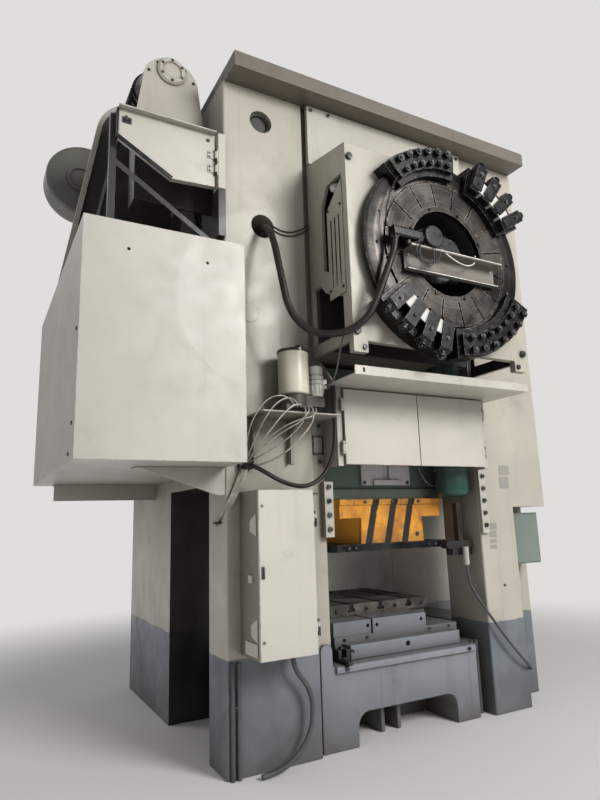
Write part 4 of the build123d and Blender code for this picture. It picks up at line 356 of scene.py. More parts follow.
def holder_paint():
    """Orange paint with black slanted stripes, scraped and scorched towards the die, and painted lighter on the
    recessed faces as painted light.
    """
    s = Shader("holder_paint", coat=0.1)
    paint = s.mix(s.span(s.noise(4, 8), 0.35, 0.65), hue("#bd7a1f"), hue("#eca32b"))
    rise = s.math("SUBTRACT", s.axis(2), STRIPE_MIDDLE_Z)
    slant = s.math("SUBTRACT", s.axis(0), s.math("MULTIPLY", rise, STRIPE_LEAN))
    stripes = 0.0
    for centre in STRIPE_CENTRES:
        away = s.math("ABSOLUTE", s.math("SUBTRACT", slant, centre))
        stripes = s.math("ADD", s.span(away, STRIPE_WIDTH / 2 + 0.002, STRIPE_WIDTH / 2 - 0.002), stripes)
    on_front = s.span(s.axis(1), -1.10, -1.13)
    scraped = s.span(s.noise(9, 12), 0.56, 0.64, 0.0, 0.5)
    paint = s.mix(scraped, paint, hue("#6b5536"))
    scorched = s.math("MULTIPLY", s.span(s.axis(2), 1.62, 1.46), s.span(s.noise(5, 8), 0.3, 0.6, 0.3, 0.9))
    paint = s.mix(s.math("MULTIPLY", scorched, 0.55), paint, hue("#3a2d1f"))
    # Painted light: the recessed faces set back from the front lie in shade, so they are painted a brighter orange
    paint = s.mix(s.span(s.axis(1), -1.13, -1.10, 0.0, 0.7), paint, hue("#ffbe45"))
    paint = s.mix(s.math("MULTIPLY", stripes, on_front), paint, hue("#050504"))
    chips = s.math("MULTIPLY", s.edge(0.012), s.span(s.noise(18, 8), 0.42, 0.52, 0.0, 0.85))
    paint = s.mix(chips, paint, hue("#4b4137"))
    s.bump(s.noise(30, 8), 0.2, 0.004)
    return s.done(paint, s.span(s.noise(8, 7), 0.3, 0.7, 0.38, 0.66))


def rotor_steel():
    """Oily brake steel, worn bright in arcs, with oil and painted shade darkening its hollows, and a black bore."""
    s = Shader("rotor_steel", metallic=0.7)
    x = s.axis(0)
    z = s.math("SUBTRACT", s.axis(2), SHAFT_Z)
    radius = s.math("SQRT", s.math("ADD", s.math("MULTIPLY", x, x), s.math("MULTIPLY", z, z)))
    tone = s.mix(s.span(s.noise(2.0, 9), 0.36, 0.66), hue("#1d1b19"), hue("#4f4a46"))
    rings = s.node("ShaderNodeTexNoise")
    rings.noise_dimensions = "1D"
    s.feed(rings.inputs["W"], radius)
    rings.inputs["Scale"].default_value = 60
    tone = s.mix(s.span(rings.outputs["Fac"], 0.5, 0.75, 0.0, 0.25), tone, hue("#78716b"))
    tone = s.mix(s.span(radius, 0.70, 0.74, 0.0, 0.6), tone, hue("#171513"))
    tone = s.mix(s.span(s.noise(5.2, 10), 0.53, 0.66, 0.0, 0.7), tone, hue("#171310"))
    # Oil and painted shade: hollows found by occlusion are darkened
    tone = s.mix(s.math("MULTIPLY", s.crevice(0.09), 0.8), tone, hue("#100e0c"))
    rubbed = s.math("MULTIPLY", s.edge(0.008), s.span(s.noise(22, 6), 0.42, 0.6, 0.0, 0.8))
    tone = s.mix(rubbed, tone, hue("#b7b2aa"))
    tone = s.mix(s.span(radius, BRAKE_BORE + 0.004, BRAKE_BORE - 0.004), tone, hue("#0d0c0b"))
    s.bump(s.math("ADD", s.noise(110, 3), s.math("MULTIPLY", s.noise(7, 6), 1.8)), 0.16, 0.004)
    return s.done(tone, s.span(s.noise(6, 8), 0.3, 0.7, 0.26, 0.56))


# One finish for each material slot of the solid model
MATERIALS = {
    # The stand enamel paints the block behind the brake, the stand's side and the window walls near black as painted
    # shade
    "beige_paint": enamel("stand_enamel", "#c6c0b3", low=True, grime_and_shade=0.24, streaks=0.22,
                          shade_blocks=(BEHIND_BRAKE, STAND_SIDE, WINDOW_WALLS)),
    "panel_paint": enamel("panel_enamel", "#d2cdc3", grime_and_shade=0.18, streaks=0.16, wear=0.6),
    "cap_paint": enamel("cap_enamel", "#756d63", grime_and_shade=0.4, streaks=0.4),
    "guard_paint": enamel("guard_enamel", "#cac5bc", grime_and_shade=0.14, streaks=0.12, wear=0.4),
    "brake_steel": steel("brake_steel", "#79736f", "#383431", rough=0.38, metallic=0.7, oil=0.55, scale=2.2),
    "black_iron": steel("black_iron", "#18191b", "#070708", rough=0.32, metallic=0.35, oil=0.3, scale=6),
    "green_paint": enamel("green_enamel", "#6f8779", grime_and_shade=0.4, streaks=0.4, rough=0.35, chip="#2f2f2c"),
    "orange_paint": holder_paint(),
    "dark_steel": steel("dark_steel", "#3a3b3d", "#1c1c1e", rough=0.45, oil=0.5),
    "table_steel": enamel("table_enamel", "#868b93", grime_and_shade=0.45, streaks=0.2, rough=0.38, wear=0.9, chip="#8d8c88"),
    "bed_paint": enamel("bed_enamel", "#949aa3", grime_and_shade=0.5, streaks=0.35, rough=0.45),
    "shaft_steel": steel("shaft_steel", "#a3a3a2", "#6c6c6c", rough=0.3, oil=0.25),
    "bronze": steel("bronze", "#a98546", "#6d5328", rough=0.4, oil=0.35),
    "gear_steel": steel("gear_steel", "#77777a", "#47474a", rough=0.42, oil=0.5),
    "motor_paint": enamel("motor_enamel", "#676761", grime_and_shade=0.35, streaks=0.3),
    "belt_rubber": rubber("belt_rubber", "#1b1b1c"),
    "hose_rubber": rubber("hose_rubber", "#2a221d", ribs=0.4, rough=0.42, dust=0.08),
    "white_plate": enamel("white_enamel", "#efeeea", grime_and_shade=0.16, streaks=0.1),
    "reservoir_plastic": enamel("reservoir_skin", "#e6e0cd", grime_and_shade=0.12, streaks=0.15, wear=0.1, rough=0.3),
    "pump_metal": steel("pump_metal", "#c9c2b8", "#9a948b", rough=0.45, metallic=0.15, oil=0.3, scale=10),
    "box_green": enamel("box_enamel", "#7f8b82", grime_and_shade=0.3, streaks=0.2),
    "bolt_steel": steel("bolt_steel", "#5a5b5e", "#2c2d2f", rough=0.45, oil=0.2, scale=20),
    "grey_cable": rubber("grey_cable", "#5c5e60", rough=0.55),
}
# Nodes whose finish differs from the rest of their slot
NODE_FINISH = {
    "gear_guard": gear_guard_enamel(),
    "brake_rotor": rotor_steel(),
    # The belt guards and side brackets paint their shaded wells near black as painted shade
    "belt_guard_front": enamel("belt_guard_enamel", "#c6c0b5", grime_and_shade=0.3, shade_blocks=(DRIVE_WELL,)),
    "belt_guard_rear": enamel("rear_guard_enamel", "#bdb7ab", grime_and_shade=0.3, shade_blocks=(GUARD_REAR_WELL,)),
    "side_brackets": enamel("bracket_paint", "#bdb7ab", grime_and_shade=0.4, shade_blocks=(DRIVE_WELL,)),
    # Painted shade: the flap's frame sits in a dark opening and is painted near black; the post at its left end keeps
    # the cream enamel
    "flap_frame": enamel("flap_frame_shaded_enamel", "#262523", grime_and_shade=0.2,
                         patches=(((-1.735, -1.50, 4.26), (-1.65, -1.30, 4.80), "#c6c0b5"),)),
    "lube_reservoir": enamel("reservoir_enamel", "#e6e0cd", grime_and_shade=0.12, streaks=0.15, wear=0.1, rough=0.3,
                             patches=(((-1.30, -1.70, 2.928), (-1.03, -1.44, 2.96), "#2a2927"),)),
    # Dark green paint, made darker still as painted shade for the shadow the cylinder hangs in
    "balance_cylinder": enamel("cylinder_shaded_enamel", "#1f4f40", grime_and_shade=0.4, streaks=0.4, rough=0.3),
    "bed": enamel("bed_and_clamp_enamel", "#949aa3", grime_and_shade=0.5, streaks=0.35, rough=0.45,
                  patches=(((-0.70, -1.43, 0.5905), (-0.572, -1.15, 0.69), "#232323"),)),
    "sensor_bracket": enamel("sensor_enamel", "#1d1e20", grime_and_shade=0.2, rough=0.35,
                             patches=(((0.63, -1.35, 1.22), (0.70, -1.291, 1.41), "#b9b4ab"),)),
    "lube_pump": enamel("pump_enamel", "#46413b", grime_and_shade=0.5, rough=0.4,
                        patches=(((-1.04, -1.65, 2.603), (-0.88, -1.49, 2.86), "#d6d2ca"),)),
    "cabinet_body": enamel("cabinet_enamel", "#8d877d", grime_and_shade=0.35, streaks=0.3,
                           patches=(((-1.57, -1.70, 0.79), (-1.5515, -1.40, 1.80), "#d0cabf"),)),
    # Painted shade: the channel bracket's web lies in shade and is given a darker enamel than the stand
    "shaft_bracket": enamel("bracket_shaded_enamel", "#8f887e", grime_and_shade=0.5, streaks=0.3),
    # The plates paint the hose hole near black as painted shade
    "guide_plates": enamel("plate_enamel", "#cdc8bd", grime_and_shade=0.3, shade_blocks=(HOSE_HOLE,)),
    "bolster_plate": steel("bolster_steel", "#77716a", "#48433e", rough=0.5, metallic=0.4, oil=0.5, scale=4),
    "lube_platform": enamel("platform_enamel", "#b5afa4", grime_and_shade=0.4, streaks=0.5),
}
# Width of the broken edges, by material slot
BEVELS = {"beige_paint": 0.006, "panel_paint": 0.003, "cap_paint": 0.004, "guard_paint": 0.003, "orange_paint": 0.006,
          "table_steel": 0.005, "bed_paint": 0.006, "green_paint": 0.005, "black_iron": 0.004, "dark_steel": 0.004,
          "box_green": 0.004}
# Edges that turn by more than this stay hard
CRISP = math.radians(32)


def dress(obj, slot, node):
    """Gives a piece its finish, shading that is smooth on curves, and a small break on hard edges."""
    obj.data.materials.clear()
    obj.data.materials.append(NODE_FINISH.get(node, MATERIALS[slot]))
    if obj.type != "MESH":
        return
    weld = obj.modifiers.new("weld", "WELD")
    weld.merge_threshold = 0.00002
    obj.data.shade_smooth()
    flat = obj.modifiers.new("flat_faces_in_one", "DECIMATE")
    flat.decimate_type = "DISSOLVE"
    flat.angle_limit = math.radians(0.1)
    if slot in BEVELS:
        bevel = obj.modifiers.new("edge_break", "BEVEL")
        bevel.width = BEVELS[slot]
        bevel.segments = 2
        bevel.limit_method = "ANGLE"
        bevel.angle_limit = math.radians(40)
        obj.modifiers.new("flat_faces", "WEIGHTED_NORMAL").weight = 100
    else:
        crisp = obj.modifiers.new("crisp", "EDGE_SPLIT")
        crisp.split_angle = CRISP


SLOT_OF = {entry["node"]: entry["material_slot"] for entry in frame["record"]["subparts"]}
for node, obj in NODES.items():
    dress(obj, SLOT_OF[node], node)


def add_cord(name, node, points, diameter, slot):
    """A hose or cable that takes the place of its rigid tube in the solid model."""
    obj = cord_curve(name, points, diameter / 2)
    obj.data.materials.append(MATERIALS[slot])
    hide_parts(node)
    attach(obj, "stand")


add_cord("main_hose_line", "main_hose", MAIN_HOSE, 0.054, "hose_rubber")
add_cord("drain_hose_line", "drain_hose", DRAIN_HOSE, 0.032, "hose_rubber")
add_cord("pump_cable_line", "pump_cable", PUMP_CABLE, 0.012, "grey_cable")
add_cord("cabinet_cable_line", "cabinet_cable", CABINET_CABLE, 0.036, "grey_cable")
add_cord("window_cable_line", "window_cable", WINDOW_CABLE, 0.022, "grey_cable")


# Small pieces
def box_into(bm, low, high, turn=None):
    """Adds a block between two corners; turn is a matrix applied about the block's centre."""
    centre = (Vector(low) + Vector(high)) / 2
    size = Vector(high) - Vector(low)
    place = Matrix.Translation(centre) @ (turn or Matrix()) @ Matrix.Diagonal((*size, 1))
    bmesh.ops.create_cube(bm, size=1, matrix=place)


def ring_into(bm, profile, place, sides=32):
    """Adds a turned shape: profile is (radius, height) pairs from foot to top, about place's Z axis."""
    rows = []
    for radius, height in profile:
        if radius == 0:
            rows.append([bm.verts.new(place @ Vector((0, 0, height)))] * sides)
            continue
        angles = [2 * math.pi * i / sides for i in range(sides)]
        rows.append([bm.verts.new(place @ Vector((radius * math.cos(a), radius * math.sin(a), height)))
                     for a in angles])
    for low, high in zip(rows, rows[1:]):
        for i in range(sides):
            j = (i + 1) % sides
            corners = [low[i], low[j], high[j], high[i]]
            unique = [v for k, v in enumerate(corners) if v not in corners[:k]]
            if len(unique) > 2:
                bm.faces.new(unique)


def facing(place, direction):
    """Matrix that sets the Z axis of a small piece along a direction, at a place."""
    return Matrix.Translation(place) @ Vector(direction).to_track_quat("Z", "Y").to_matrix().to_4x4()


def bolt_into(bm, place, direction, radius, sunk=False):
    """Adds a hexagon head on its washer, or a socket head with its hexagon recess."""
    matrix = facing(place, direction)
    if sunk:
        profile = [(radius, 0), (radius, radius * 0.9), (radius * 0.9, radius), (radius * 0.5, radius)]
        ring_into(bm, profile, matrix, 20)
        ring_into(bm, [(radius * 0.5, radius), (radius * 0.5, radius * 0.5), (0, radius * 0.5)], matrix, 6)
        return
    ring_into(bm, [(radius * 1.25, 0), (radius * 1.25, radius * 0.16), (0, radius * 0.16)], matrix, 20)
    ring_into(bm, [(radius, radius * 0.16), (radius, radius * 0.75), (radius * 0.86, radius * 0.86),
                   (0, radius * 0.86)], matrix, 6)


def new_piece(name, bm, slot, body="stand", edge=0.0, material=None):
    """Makes a piece from a mesh; edge is the width of its broken edges."""
    bmesh.ops.remove_doubles(bm, verts=bm.verts, dist=0.00001)
    bmesh.ops.recalc_face_normals(bm, faces=bm.faces)
    mesh = bpy.data.meshes.new(name)
    bm.to_mesh(mesh)
    bm.free()
    obj = bpy.data.objects.new(name, mesh)
    bpy.context.scene.collection.objects.link(obj)
    if edge:
        bevel = obj.modifiers.new("edge_break", "BEVEL")
        bevel.width = edge
        bevel.segments = 2
        bevel.limit_method = "ANGLE"
    mesh.shade_smooth()
    obj.modifiers.new("crisp", "EDGE_SPLIT").split_angle = CRISP
    mesh.materials.append(material or MATERIALS[slot])
    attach(obj, body)


def pipe(name, points, radius, slot, body="stand"):
    """A bent pipe or a clipped cable along its own smooth curve."""
    obj = cord_curve(name, points, radius)
    obj.data.materials.append(MATERIALS[slot])
    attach(obj, body)


# Brake: Y of its front faces; calipers by middle and span in degrees; finger calipers also by spring radius
FINGER_FACE = -2.228
STUD_FACE = -2.216
BRAKE_FACE = -2.095
STUD_CALIPERS = ((109, 52), (302, 66))
FINGER_CALIPERS = ((48, 46, 0.695), (238, 48, 0.72))


def on_brake(radius, degrees, y):
    """Place at a radius and an angle about the eccentric shaft."""
    angle = math.radians(degrees)
    return Vector((radius * math.cos(angle), y, SHAFT_Z + radius * math.sin(angle)))


def finger_angles(centre, span):
    """Middles of a finger caliper's blocks, which are about 12 degrees apart."""
    count = round(span / 12)
    return [centre + span * (i + 0.5) / count - span / 2 for i in range(count)]


def caliper_bolts():
    """Bolt heads in two rows on the stud calipers and in one on the finger calipers."""
    bolts = bmesh.new()
    for centre, span in STUD_CALIPERS:
        count = round(span / 9)
        for i in range(count):
            degrees = centre + (span - 8) * ((i + 0.5) / count - 0.5)
            for radius, size in ((0.828, 0.017), (0.732, 0.014)):
                bolt_into(bolts, on_brake(radius, degrees, STUD_FACE + 0.001), (0, -1, 0), size)
    for centre, span, _ in FINGER_CALIPERS:
        for degrees in finger_angles(centre, span):
            bolt_into(bolts, on_brake(0.80, degrees, FINGER_FACE + 0.001), (0, -1, 0), 0.017)
    new_piece("caliper_bolts", bolts, "bolt_steel")


def caliper_springs():
    """Light angle springs between the finger blocks."""
    plates = bmesh.new()
    for centre, span, radius in FINGER_CALIPERS:
        angles = finger_angles(centre, span)
        for a, b in zip(angles, angles[1:]):
            middle = on_brake(radius, (a + b) / 2, -2.212)
            turn = Matrix.Rotation(-math.radians((a + b) / 2), 4, "Y")
            half = Vector((0.056, 0.004, 0.034))
            box_into(plates, middle - half, middle + half, turn)
            half = Vector((0.004, 0.034, 0.034))
            foot = on_brake(radius - 0.052, (a + b) / 2, -2.180)
            box_into(plates, foot - half, foot + half, turn)
    new_piece("caliper_springs", plates, "white_plate", edge=0.002)


def caliper_plugs():
    """Round plugs on the rim of each finger block."""
    plugs = bmesh.new()
    rows = [(0.036, 0), (0.036, 0.012), (0.030, 0.014), (0.030, 0.022), (0.036, 0.024), (0.036, 0.036),
            (0.020, 0.040), (0.020, 0.052), (0, 0.052)]
    for centre, span, _ in reversed(FINGER_CALIPERS):
        for degrees in finger_angles(centre, span):
            direction = Vector((math.cos(math.radians(degrees)), 0, math.sin(math.radians(degrees))))
            foot = on_brake(0.905, degrees, -2.178) - direction * 0.004
            ring_into(plugs, rows, facing(foot, direction), 20)
    new_piece("caliper_plugs", plugs, "black_iron")


def rotor_screws():
    """Two rings of sunk screws that turn with the brake disc."""
    screws = bmesh.new()
    for index in range(16):
        place = on_brake(0.69, 360 * (index + 0.1) / 16, -2.085)
        bolt_into(screws, place, (0, -1, 0), 0.012, sunk=True)
    for index in range(8):
        place = on_brake(0.39, 360 * (index + 0.5) / 8, BRAKE_FACE)
        bolt_into(screws, place, (0, -1, 0), 0.013, sunk=True)
    new_piece("rotor_screws", screws, "bolt_steel", body="crank")


def bracket_details():
    """White strips along the channel bracket's lips as painted highlight, its screws, and the lead that hangs in it.
    """
    # Painted highlight: thin white strips along the two lips stand for the light that catches their edges
    lips = bmesh.new()
    box_into(lips, (-0.470, -2.2225, 3.6985), (0.470, -2.2165, 3.7045))
    box_into(lips, (-0.470, -2.1640, 3.5285), (0.470, -2.1590, 3.5345))
    for x in (-0.43, 0.43):
        bolt_into(lips, (x, -2.121, 3.66), (0, -1, 0), 0.011)
        bolt_into(lips, (x, -2.19, 3.700), (0, 0, 1), 0.010)
    new_piece("bracket_lip_highlights", lips, "white_plate")
    sag = [(-0.19, -2.20, 3.742), (-0.13, -2.212, 3.690), (-0.04, -2.218, 3.640), (0.06, -2.216, 3.618),
           (0.15, -2.205, 3.640), (0.21, -2.185, 3.695), (0.235, -2.165, 3.735), (0.250, -2.150, 3.765)]
    pipe("bracket_lead", sag, 0.0055, "white_plate")


def switch_fittings():
    """Cable glands under the cam switch, and its round cover with four screws."""
    glands = bmesh.new()
    for place, radius in (((-0.594, -2.181, 3.752), 0.034), ((-0.36, -2.18, 3.742), 0.020),
                          ((-0.47, -2.18, 3.742), 0.020)):
        rows = [(radius, -0.012), (radius, 0.012), (radius * 0.8, 0.016), (radius * 0.8, 0.024),
                (radius * 0.62, 0.03), (0, 0.03)]
        ring_into(glands, rows, facing(place, (0, 0, -1)), 6)
    rows = [(0.060, -0.004), (0.060, 0.004), (0.052, 0.006), (0.030, 0.006), (0.026, 0.001), (0, 0.001)]
    ring_into(glands, rows, facing((-0.255, -2.236, 3.795), (0, -1, 0)), 32)
    for index in range(4):
        angle = math.radians(45 + 90 * index)
        place = Vector((-0.255 + 0.074 * math.cos(angle), -2.239, 3.795 + 0.074 * math.sin(angle)))
        ring_into(glands, [(0.008, -0.004), (0.008, 0.004), (0, 0.004)], facing(place, (0, -1, 0)), 6)
    new_piece("switch_fittings", glands, "bolt_steel")


def switch_loops():
    """Wires that hang in loops from one gland of the cam switch to the other."""
    rng = random.Random(4)
    centre = Vector((-0.315, -2.222, 3.675))
    for turn in range(6):
        wide = 0.070 + 0.016 * turn
        tall = 0.130 - 0.010 * turn
        drift = Vector((rng.uniform(-0.015, 0.015), 0.003 * turn, rng.uniform(-0.015, 0.01)))
        points = [Vector((-0.47 + 0.03 * turn, -2.18, 3.722))]
        for step in range(13):
            angle = math.radians(150 - 30 * step)
            depth = 0.008 * math.sin(angle * 2)
            points.append(centre + drift + Vector((wide * math.cos(angle), depth, tall * math.sin(angle))))
        points.append(Vector((-0.36 + 0.012 * turn, -2.185, 3.722)))
        sheath = "hose_rubber" if turn % 3 else "grey_cable"
        pipe(f"switch_loop_{turn}", [tuple(p) for p in points], 0.0042, sheath)


def housing_details():
    """Screws of the louvre and the sensor in the upper opening of the brake housing."""
    pieces = bmesh.new()
    for z in (3.42, 4.10):
        for y in (-1.92, -1.74):
            bolt_into(pieces, (-0.900, y, z - 0.02 * (y < -1.8)), (-1, 0, 0), 0.010, sunk=True)
    new_piece("louvre_screws", pieces, "bolt_steel")
    sensor = bmesh.new()
    rows = [(0.0, -0.10), (0.030, -0.10), (0.030, -0.01), (0.052, 0.0), (0.052, 0.022), (0.042, 0.034), (0, 0.034)]
    ring_into(sensor, rows, facing((-0.845, -1.80, 4.28), (-0.5, -0.6, 0.5)), 28)
    new_piece("brake_sensor", sensor, "white_plate")


# X and Z of two corners: the small plates on the right upright, and the bars round the sight plate
SMALL_PLATES = (((0.905, 1.545), (0.985, 1.600)), ((0.895, 1.475), (0.975, 1.530)),
                ((0.893, 1.425), (0.970, 1.455)), ((0.890, 1.375), (0.966, 1.405)),
                ((1.085, 2.040), (1.215, 2.125)), ((1.080, 1.915), (1.190, 2.020)))
SIGHT_BARS = (((-0.896, 2.330), (-0.800, 2.340)), ((-0.896, 2.190), (-0.800, 2.200)),
              ((-0.896, 2.190), (-0.886, 2.340)), ((-0.810, 2.190), (-0.800, 2.340)))
SIGHT_FACE = -1.352


def stand_details():
    """Small plates on the right upright, the sight plate's dark frame and its bolts."""
    plates = bmesh.new()
    for low, high in SMALL_PLATES:
        box_into(plates, (low[0], -1.402, low[1]), (high[0], -1.399, high[1]))
    grey = enamel("plate_grey", "#a7a49d", grime_and_shade=0.2, wear=0.2)
    new_piece("small_plates", plates, "bolt_steel", material=grey)
    frame_bars = bmesh.new()
    for low, high in SIGHT_BARS:
        box_into(frame_bars, (low[0], SIGHT_FACE - 0.004, low[1]), (high[0], SIGHT_FACE + 0.001, high[1]))
    new_piece("sight_frame", frame_bars, "black_iron")
    bolts = bmesh.new()
    for z in (2.42, 2.13):
        bolt_into(bolts, (-0.83, SIGHT_FACE, z), (0, -1, 0), 0.014)
    bolt_into(bolts, (1.02, -1.4, 1.05), (0, -1, 0), 0.010, sunk=True)
    new_piece("sight_bolts", bolts, "bolt_steel")


def brake_leads():
    """Two thin leads from the stand to the brake housing, and one from a caliper to the cam switch."""
    for index, drop in enumerate((0.0, 0.035)):
        lead = [(-1.262, -1.392, 4.060 - drop), (-1.235, -1.408, 4.062 - drop), (-1.160, -1.408, 4.030 - drop),
                (-1.060, -1.408, 4.035 - drop), (-0.970, -1.408, 4.080 - drop), (-0.905, -1.410, 4.130 - drop),
                (-0.8925, -1.425, 4.135 - drop)]
        pipe(f"brake_lead_{index}", lead, 0.0045, "hose_rubber")
    wire = [(-0.330, -2.150, 4.470), (-0.420, -2.158, 4.400), (-0.545, -2.150, 4.230), (-0.620, -2.140, 4.030),
            (-0.640, -2.140, 3.880), (-0.610, -2.150, 3.800), (-0.575, -2.165, 3.785)]
    pipe("caliper_lead", wire, 0.005, "hose_rubber")


def die_details():
    """Hanging green air line beside the ram, and the screws of its cover plate, die holder and die plate."""
    loop = [(0.33, -1.10, 2.30), (0.335, -1.125, 2.18), (0.36, -1.145, 2.06), (0.42, -1.150, 1.975),
            (0.51, -1.150, 1.945), (0.60, -1.150, 1.965), (0.665, -1.145, 2.03), (0.70, -1.135, 2.12),
            (0.715, -1.120, 2.22), (0.72, -1.10, 2.30)]
    pipe("ram_air_line", loop, 0.009, "green_paint", body="ram_unit")
    bolts = bmesh.new()
    for x in (-0.235, 0.235):
        for z in (1.985, 2.170):
            bolt_into(bolts, (x, -1.0935, z), (0, -1, 0), 0.014)
    for x in (-0.29, 0.0, 0.29):
        bolt_into(bolts, (x, -1.1635, 1.815), (0, -1, 0), 0.013, sunk=True)
    bolt_into(bolts, (0.265, -1.1495, 1.53), (0, -1, 0), 0.017)
    for x in (-0.47, -0.4, 0.38, 0.46):
        bolt_into(bolts, (x, -1.1555, 1.435), (0, -1, 0), 0.013, sunk=True)
    new_piece("ram_bolts", bolts, "bolt_steel", body="ram_unit")


def table_details():
    """Screws of the table, nuts in the bolster's slots, and the bolts of the bed and its wedge clamp."""
    bolts = bmesh.new()
    for x in (-0.55, -0.33, 0.33, 0.55):
        bolt_into(bolts, (x, -1.1505, 0.722), (0, -1, 0), 0.011, sunk=True)
    for x in (-0.46, -0.155, 0.155, 0.46):
        bolt_into(bolts, (x, -0.9005, 0.905), (0, -1, 0), 0.014, sunk=True)
    new_piece("table_bolts", bolts, "bolt_steel", body="table_body")
    nuts = bmesh.new()
    for x in (-0.31, 0.0, 0.31):
        box_into(nuts, (x - 0.036, -0.896, 0.885), (x + 0.036, -0.80, 0.914))
        box_into(nuts, (x - 0.020, -0.897, 0.900), (x + 0.020, -0.80, 0.947))
    new_piece("slot_nuts", nuts, "dark_steel", body="table_body", edge=0.002)
    clamp = bmesh.new()
    for y in (-1.39, -1.23):
        bolt_into(clamp, (-0.635, y, 0.680), (0, 0, 1), 0.020)
    for x in (-0.68, 0.55):
        bolt_into(clamp, (x, -1.3865, 0.565), (0, -1, 0), 0.014, sunk=True)
    new_piece("bed_bolts", clamp, "bolt_steel")


# Each supply pipe's bends, from its outlet on the pump to the clip on the stand
PIPE_BENDS = (
    [(-1.285, -1.755, 2.530), (-1.375, -1.765, 2.560), (-1.470, -1.735, 2.530), (-1.545, -1.680, 2.420),
     (-1.570, -1.610, 2.290), (-1.548, -1.510, 2.160)],
    [(-1.250, -1.755, 2.525), (-1.330, -1.770, 2.545), (-1.420, -1.745, 2.490), (-1.480, -1.690, 2.380),
     (-1.510, -1.600, 2.260), (-1.520, -1.500, 2.150)],
    [(-1.215, -1.758, 2.500), (-1.285, -1.775, 2.490), (-1.370, -1.755, 2.410), (-1.430, -1.690, 2.310),
     (-1.480, -1.580, 2.210), (-1.505, -1.480, 2.130)],
    [(-1.175, -1.765, 2.440), (-1.215, -1.770, 2.350), (-1.300, -1.700, 2.250), (-1.390, -1.600, 2.180),
     (-1.460, -1.500, 2.130), (-1.495, -1.455, 2.105)],
    [(-1.150, -1.765, 2.450), (-1.225, -1.785, 2.370), (-1.330, -1.720, 2.310), (-1.410, -1.620, 2.235),
     (-1.470, -1.530, 2.170), (-1.500, -1.465, 2.120)],
    [(-1.110, -1.760, 2.440), (-1.125, -1.770, 2.370), (-1.190, -1.720, 2.270), (-1.290, -1.620, 2.150),
     (-1.400, -1.520, 2.090), (-1.470, -1.450, 2.075)],
    [(-1.090, -1.770, 2.455), (-1.140, -1.800, 2.405), (-1.240, -1.780, 2.385), (-1.350, -1.715, 2.330),
     (-1.445, -1.600, 2.240), (-1.500, -1.490, 2.145)],
)
# X of the pump's outlets
OUTLETS = [-1.258 + 0.03 * i for i in range(7)]


def lubrication_details():
    """Outlet fittings and screws of the pump, and the reservoir's filler cap."""
    fittings = bmesh.new()
    rows = [(0.011, -0.002), (0.011, 0.014), (0.008, 0.016), (0.008, 0.024), (0.005, 0.028), (0, 0.028)]
    for x in OUTLETS:
        ring_into(fittings, rows, facing((x, -1.699, 2.484), (0, -1, 0)), 6)
    for index in range(10):
        angle = math.radians(36 * index)
        place = (-1.168 + 0.088 * math.cos(angle), -1.57 + 0.088 * math.sin(angle), 2.5115)
        bolt_into(fittings, place, (0, 0, 1), 0.008)
    for x, y in ((-1.262, -1.645), (-1.074, -1.645), (-1.262, -1.495), (-1.074, -1.495)):
        bolt_into(fittings, (x, y, 2.512), (0, 0, 1), 0.008)
    new_piece("pump_fittings", fittings, "bolt_steel")
    cap = bmesh.new()
    ring_into(cap, [(0.022, 0), (0.022, 0.014), (0.034, 0.016), (0.034, 0.034), (0.028, 0.038), (0, 0.038)],
              Matrix.Translation((-1.13, -1.60, 2.951)), 24)
    new_piece("filler_cap", cap, "black_iron")


def supply_pipes():
    """Thin pipes that run in one bundle from the pump down the stand, and their clips."""
    for index, (x, bends) in enumerate(zip(OUTLETS, PIPE_BENDS)):
        shift = 0.009 * (index - 3)
        start = [(x, -1.724, 2.484), (x, -1.740, 2.484)]
        end = [(-1.513 + shift, -1.424 - 0.010 * (index % 2), 2.075), (-1.555 + shift, -1.426, 1.97),
               (-1.600 + shift, -1.424, 1.87), (-1.645 + shift, -1.420, 1.79),
               (-1.676, -1.385 + 0.014 * index, 1.745 - 0.010 * index),
               (-1.672, -1.30 + 0.014 * index, 1.715 - 0.010 * index)]
        pipe(f"supply_pipe_{index}", start + bends + end, 0.0044 + 0.0007 * (index % 3), "pump_metal")
    clips = bmesh.new()
    box_into(clips, (-1.565, -1.446, 2.055), (-1.462, -1.400, 2.095))
    box_into(clips, (-1.681, -1.320, 1.668), (-1.660, -1.195, 1.684))
    new_piece("pipe_clips", clips, "dark_steel", edge=0.003)


def side_details():
    """Bolted access cover on the right side."""
    cover = bmesh.new()
    box_into(cover, (1.659, -0.36, 3.42), (1.666, 0.36, 4.14))
    new_piece("side_cover", cover, "panel_paint", edge=0.002)
    bolts = bmesh.new()
    rows = [(0.014, 0), (0.014, 0.0045), (0.011, 0.0055), (0, 0.0055)]
    places = [(y, z) for y in (-0.32, -0.107, 0.107, 0.32) for z in (3.46, 4.10)]
    places += [(y, z) for y in (-0.32, 0.32) for z in (3.673, 3.887)]
    for y, z in places:
        ring_into(bolts, rows, facing((1.666, y, z), (1, 0, 0)), 6)
    new_piece("side_bolts", bolts, "bolt_steel")


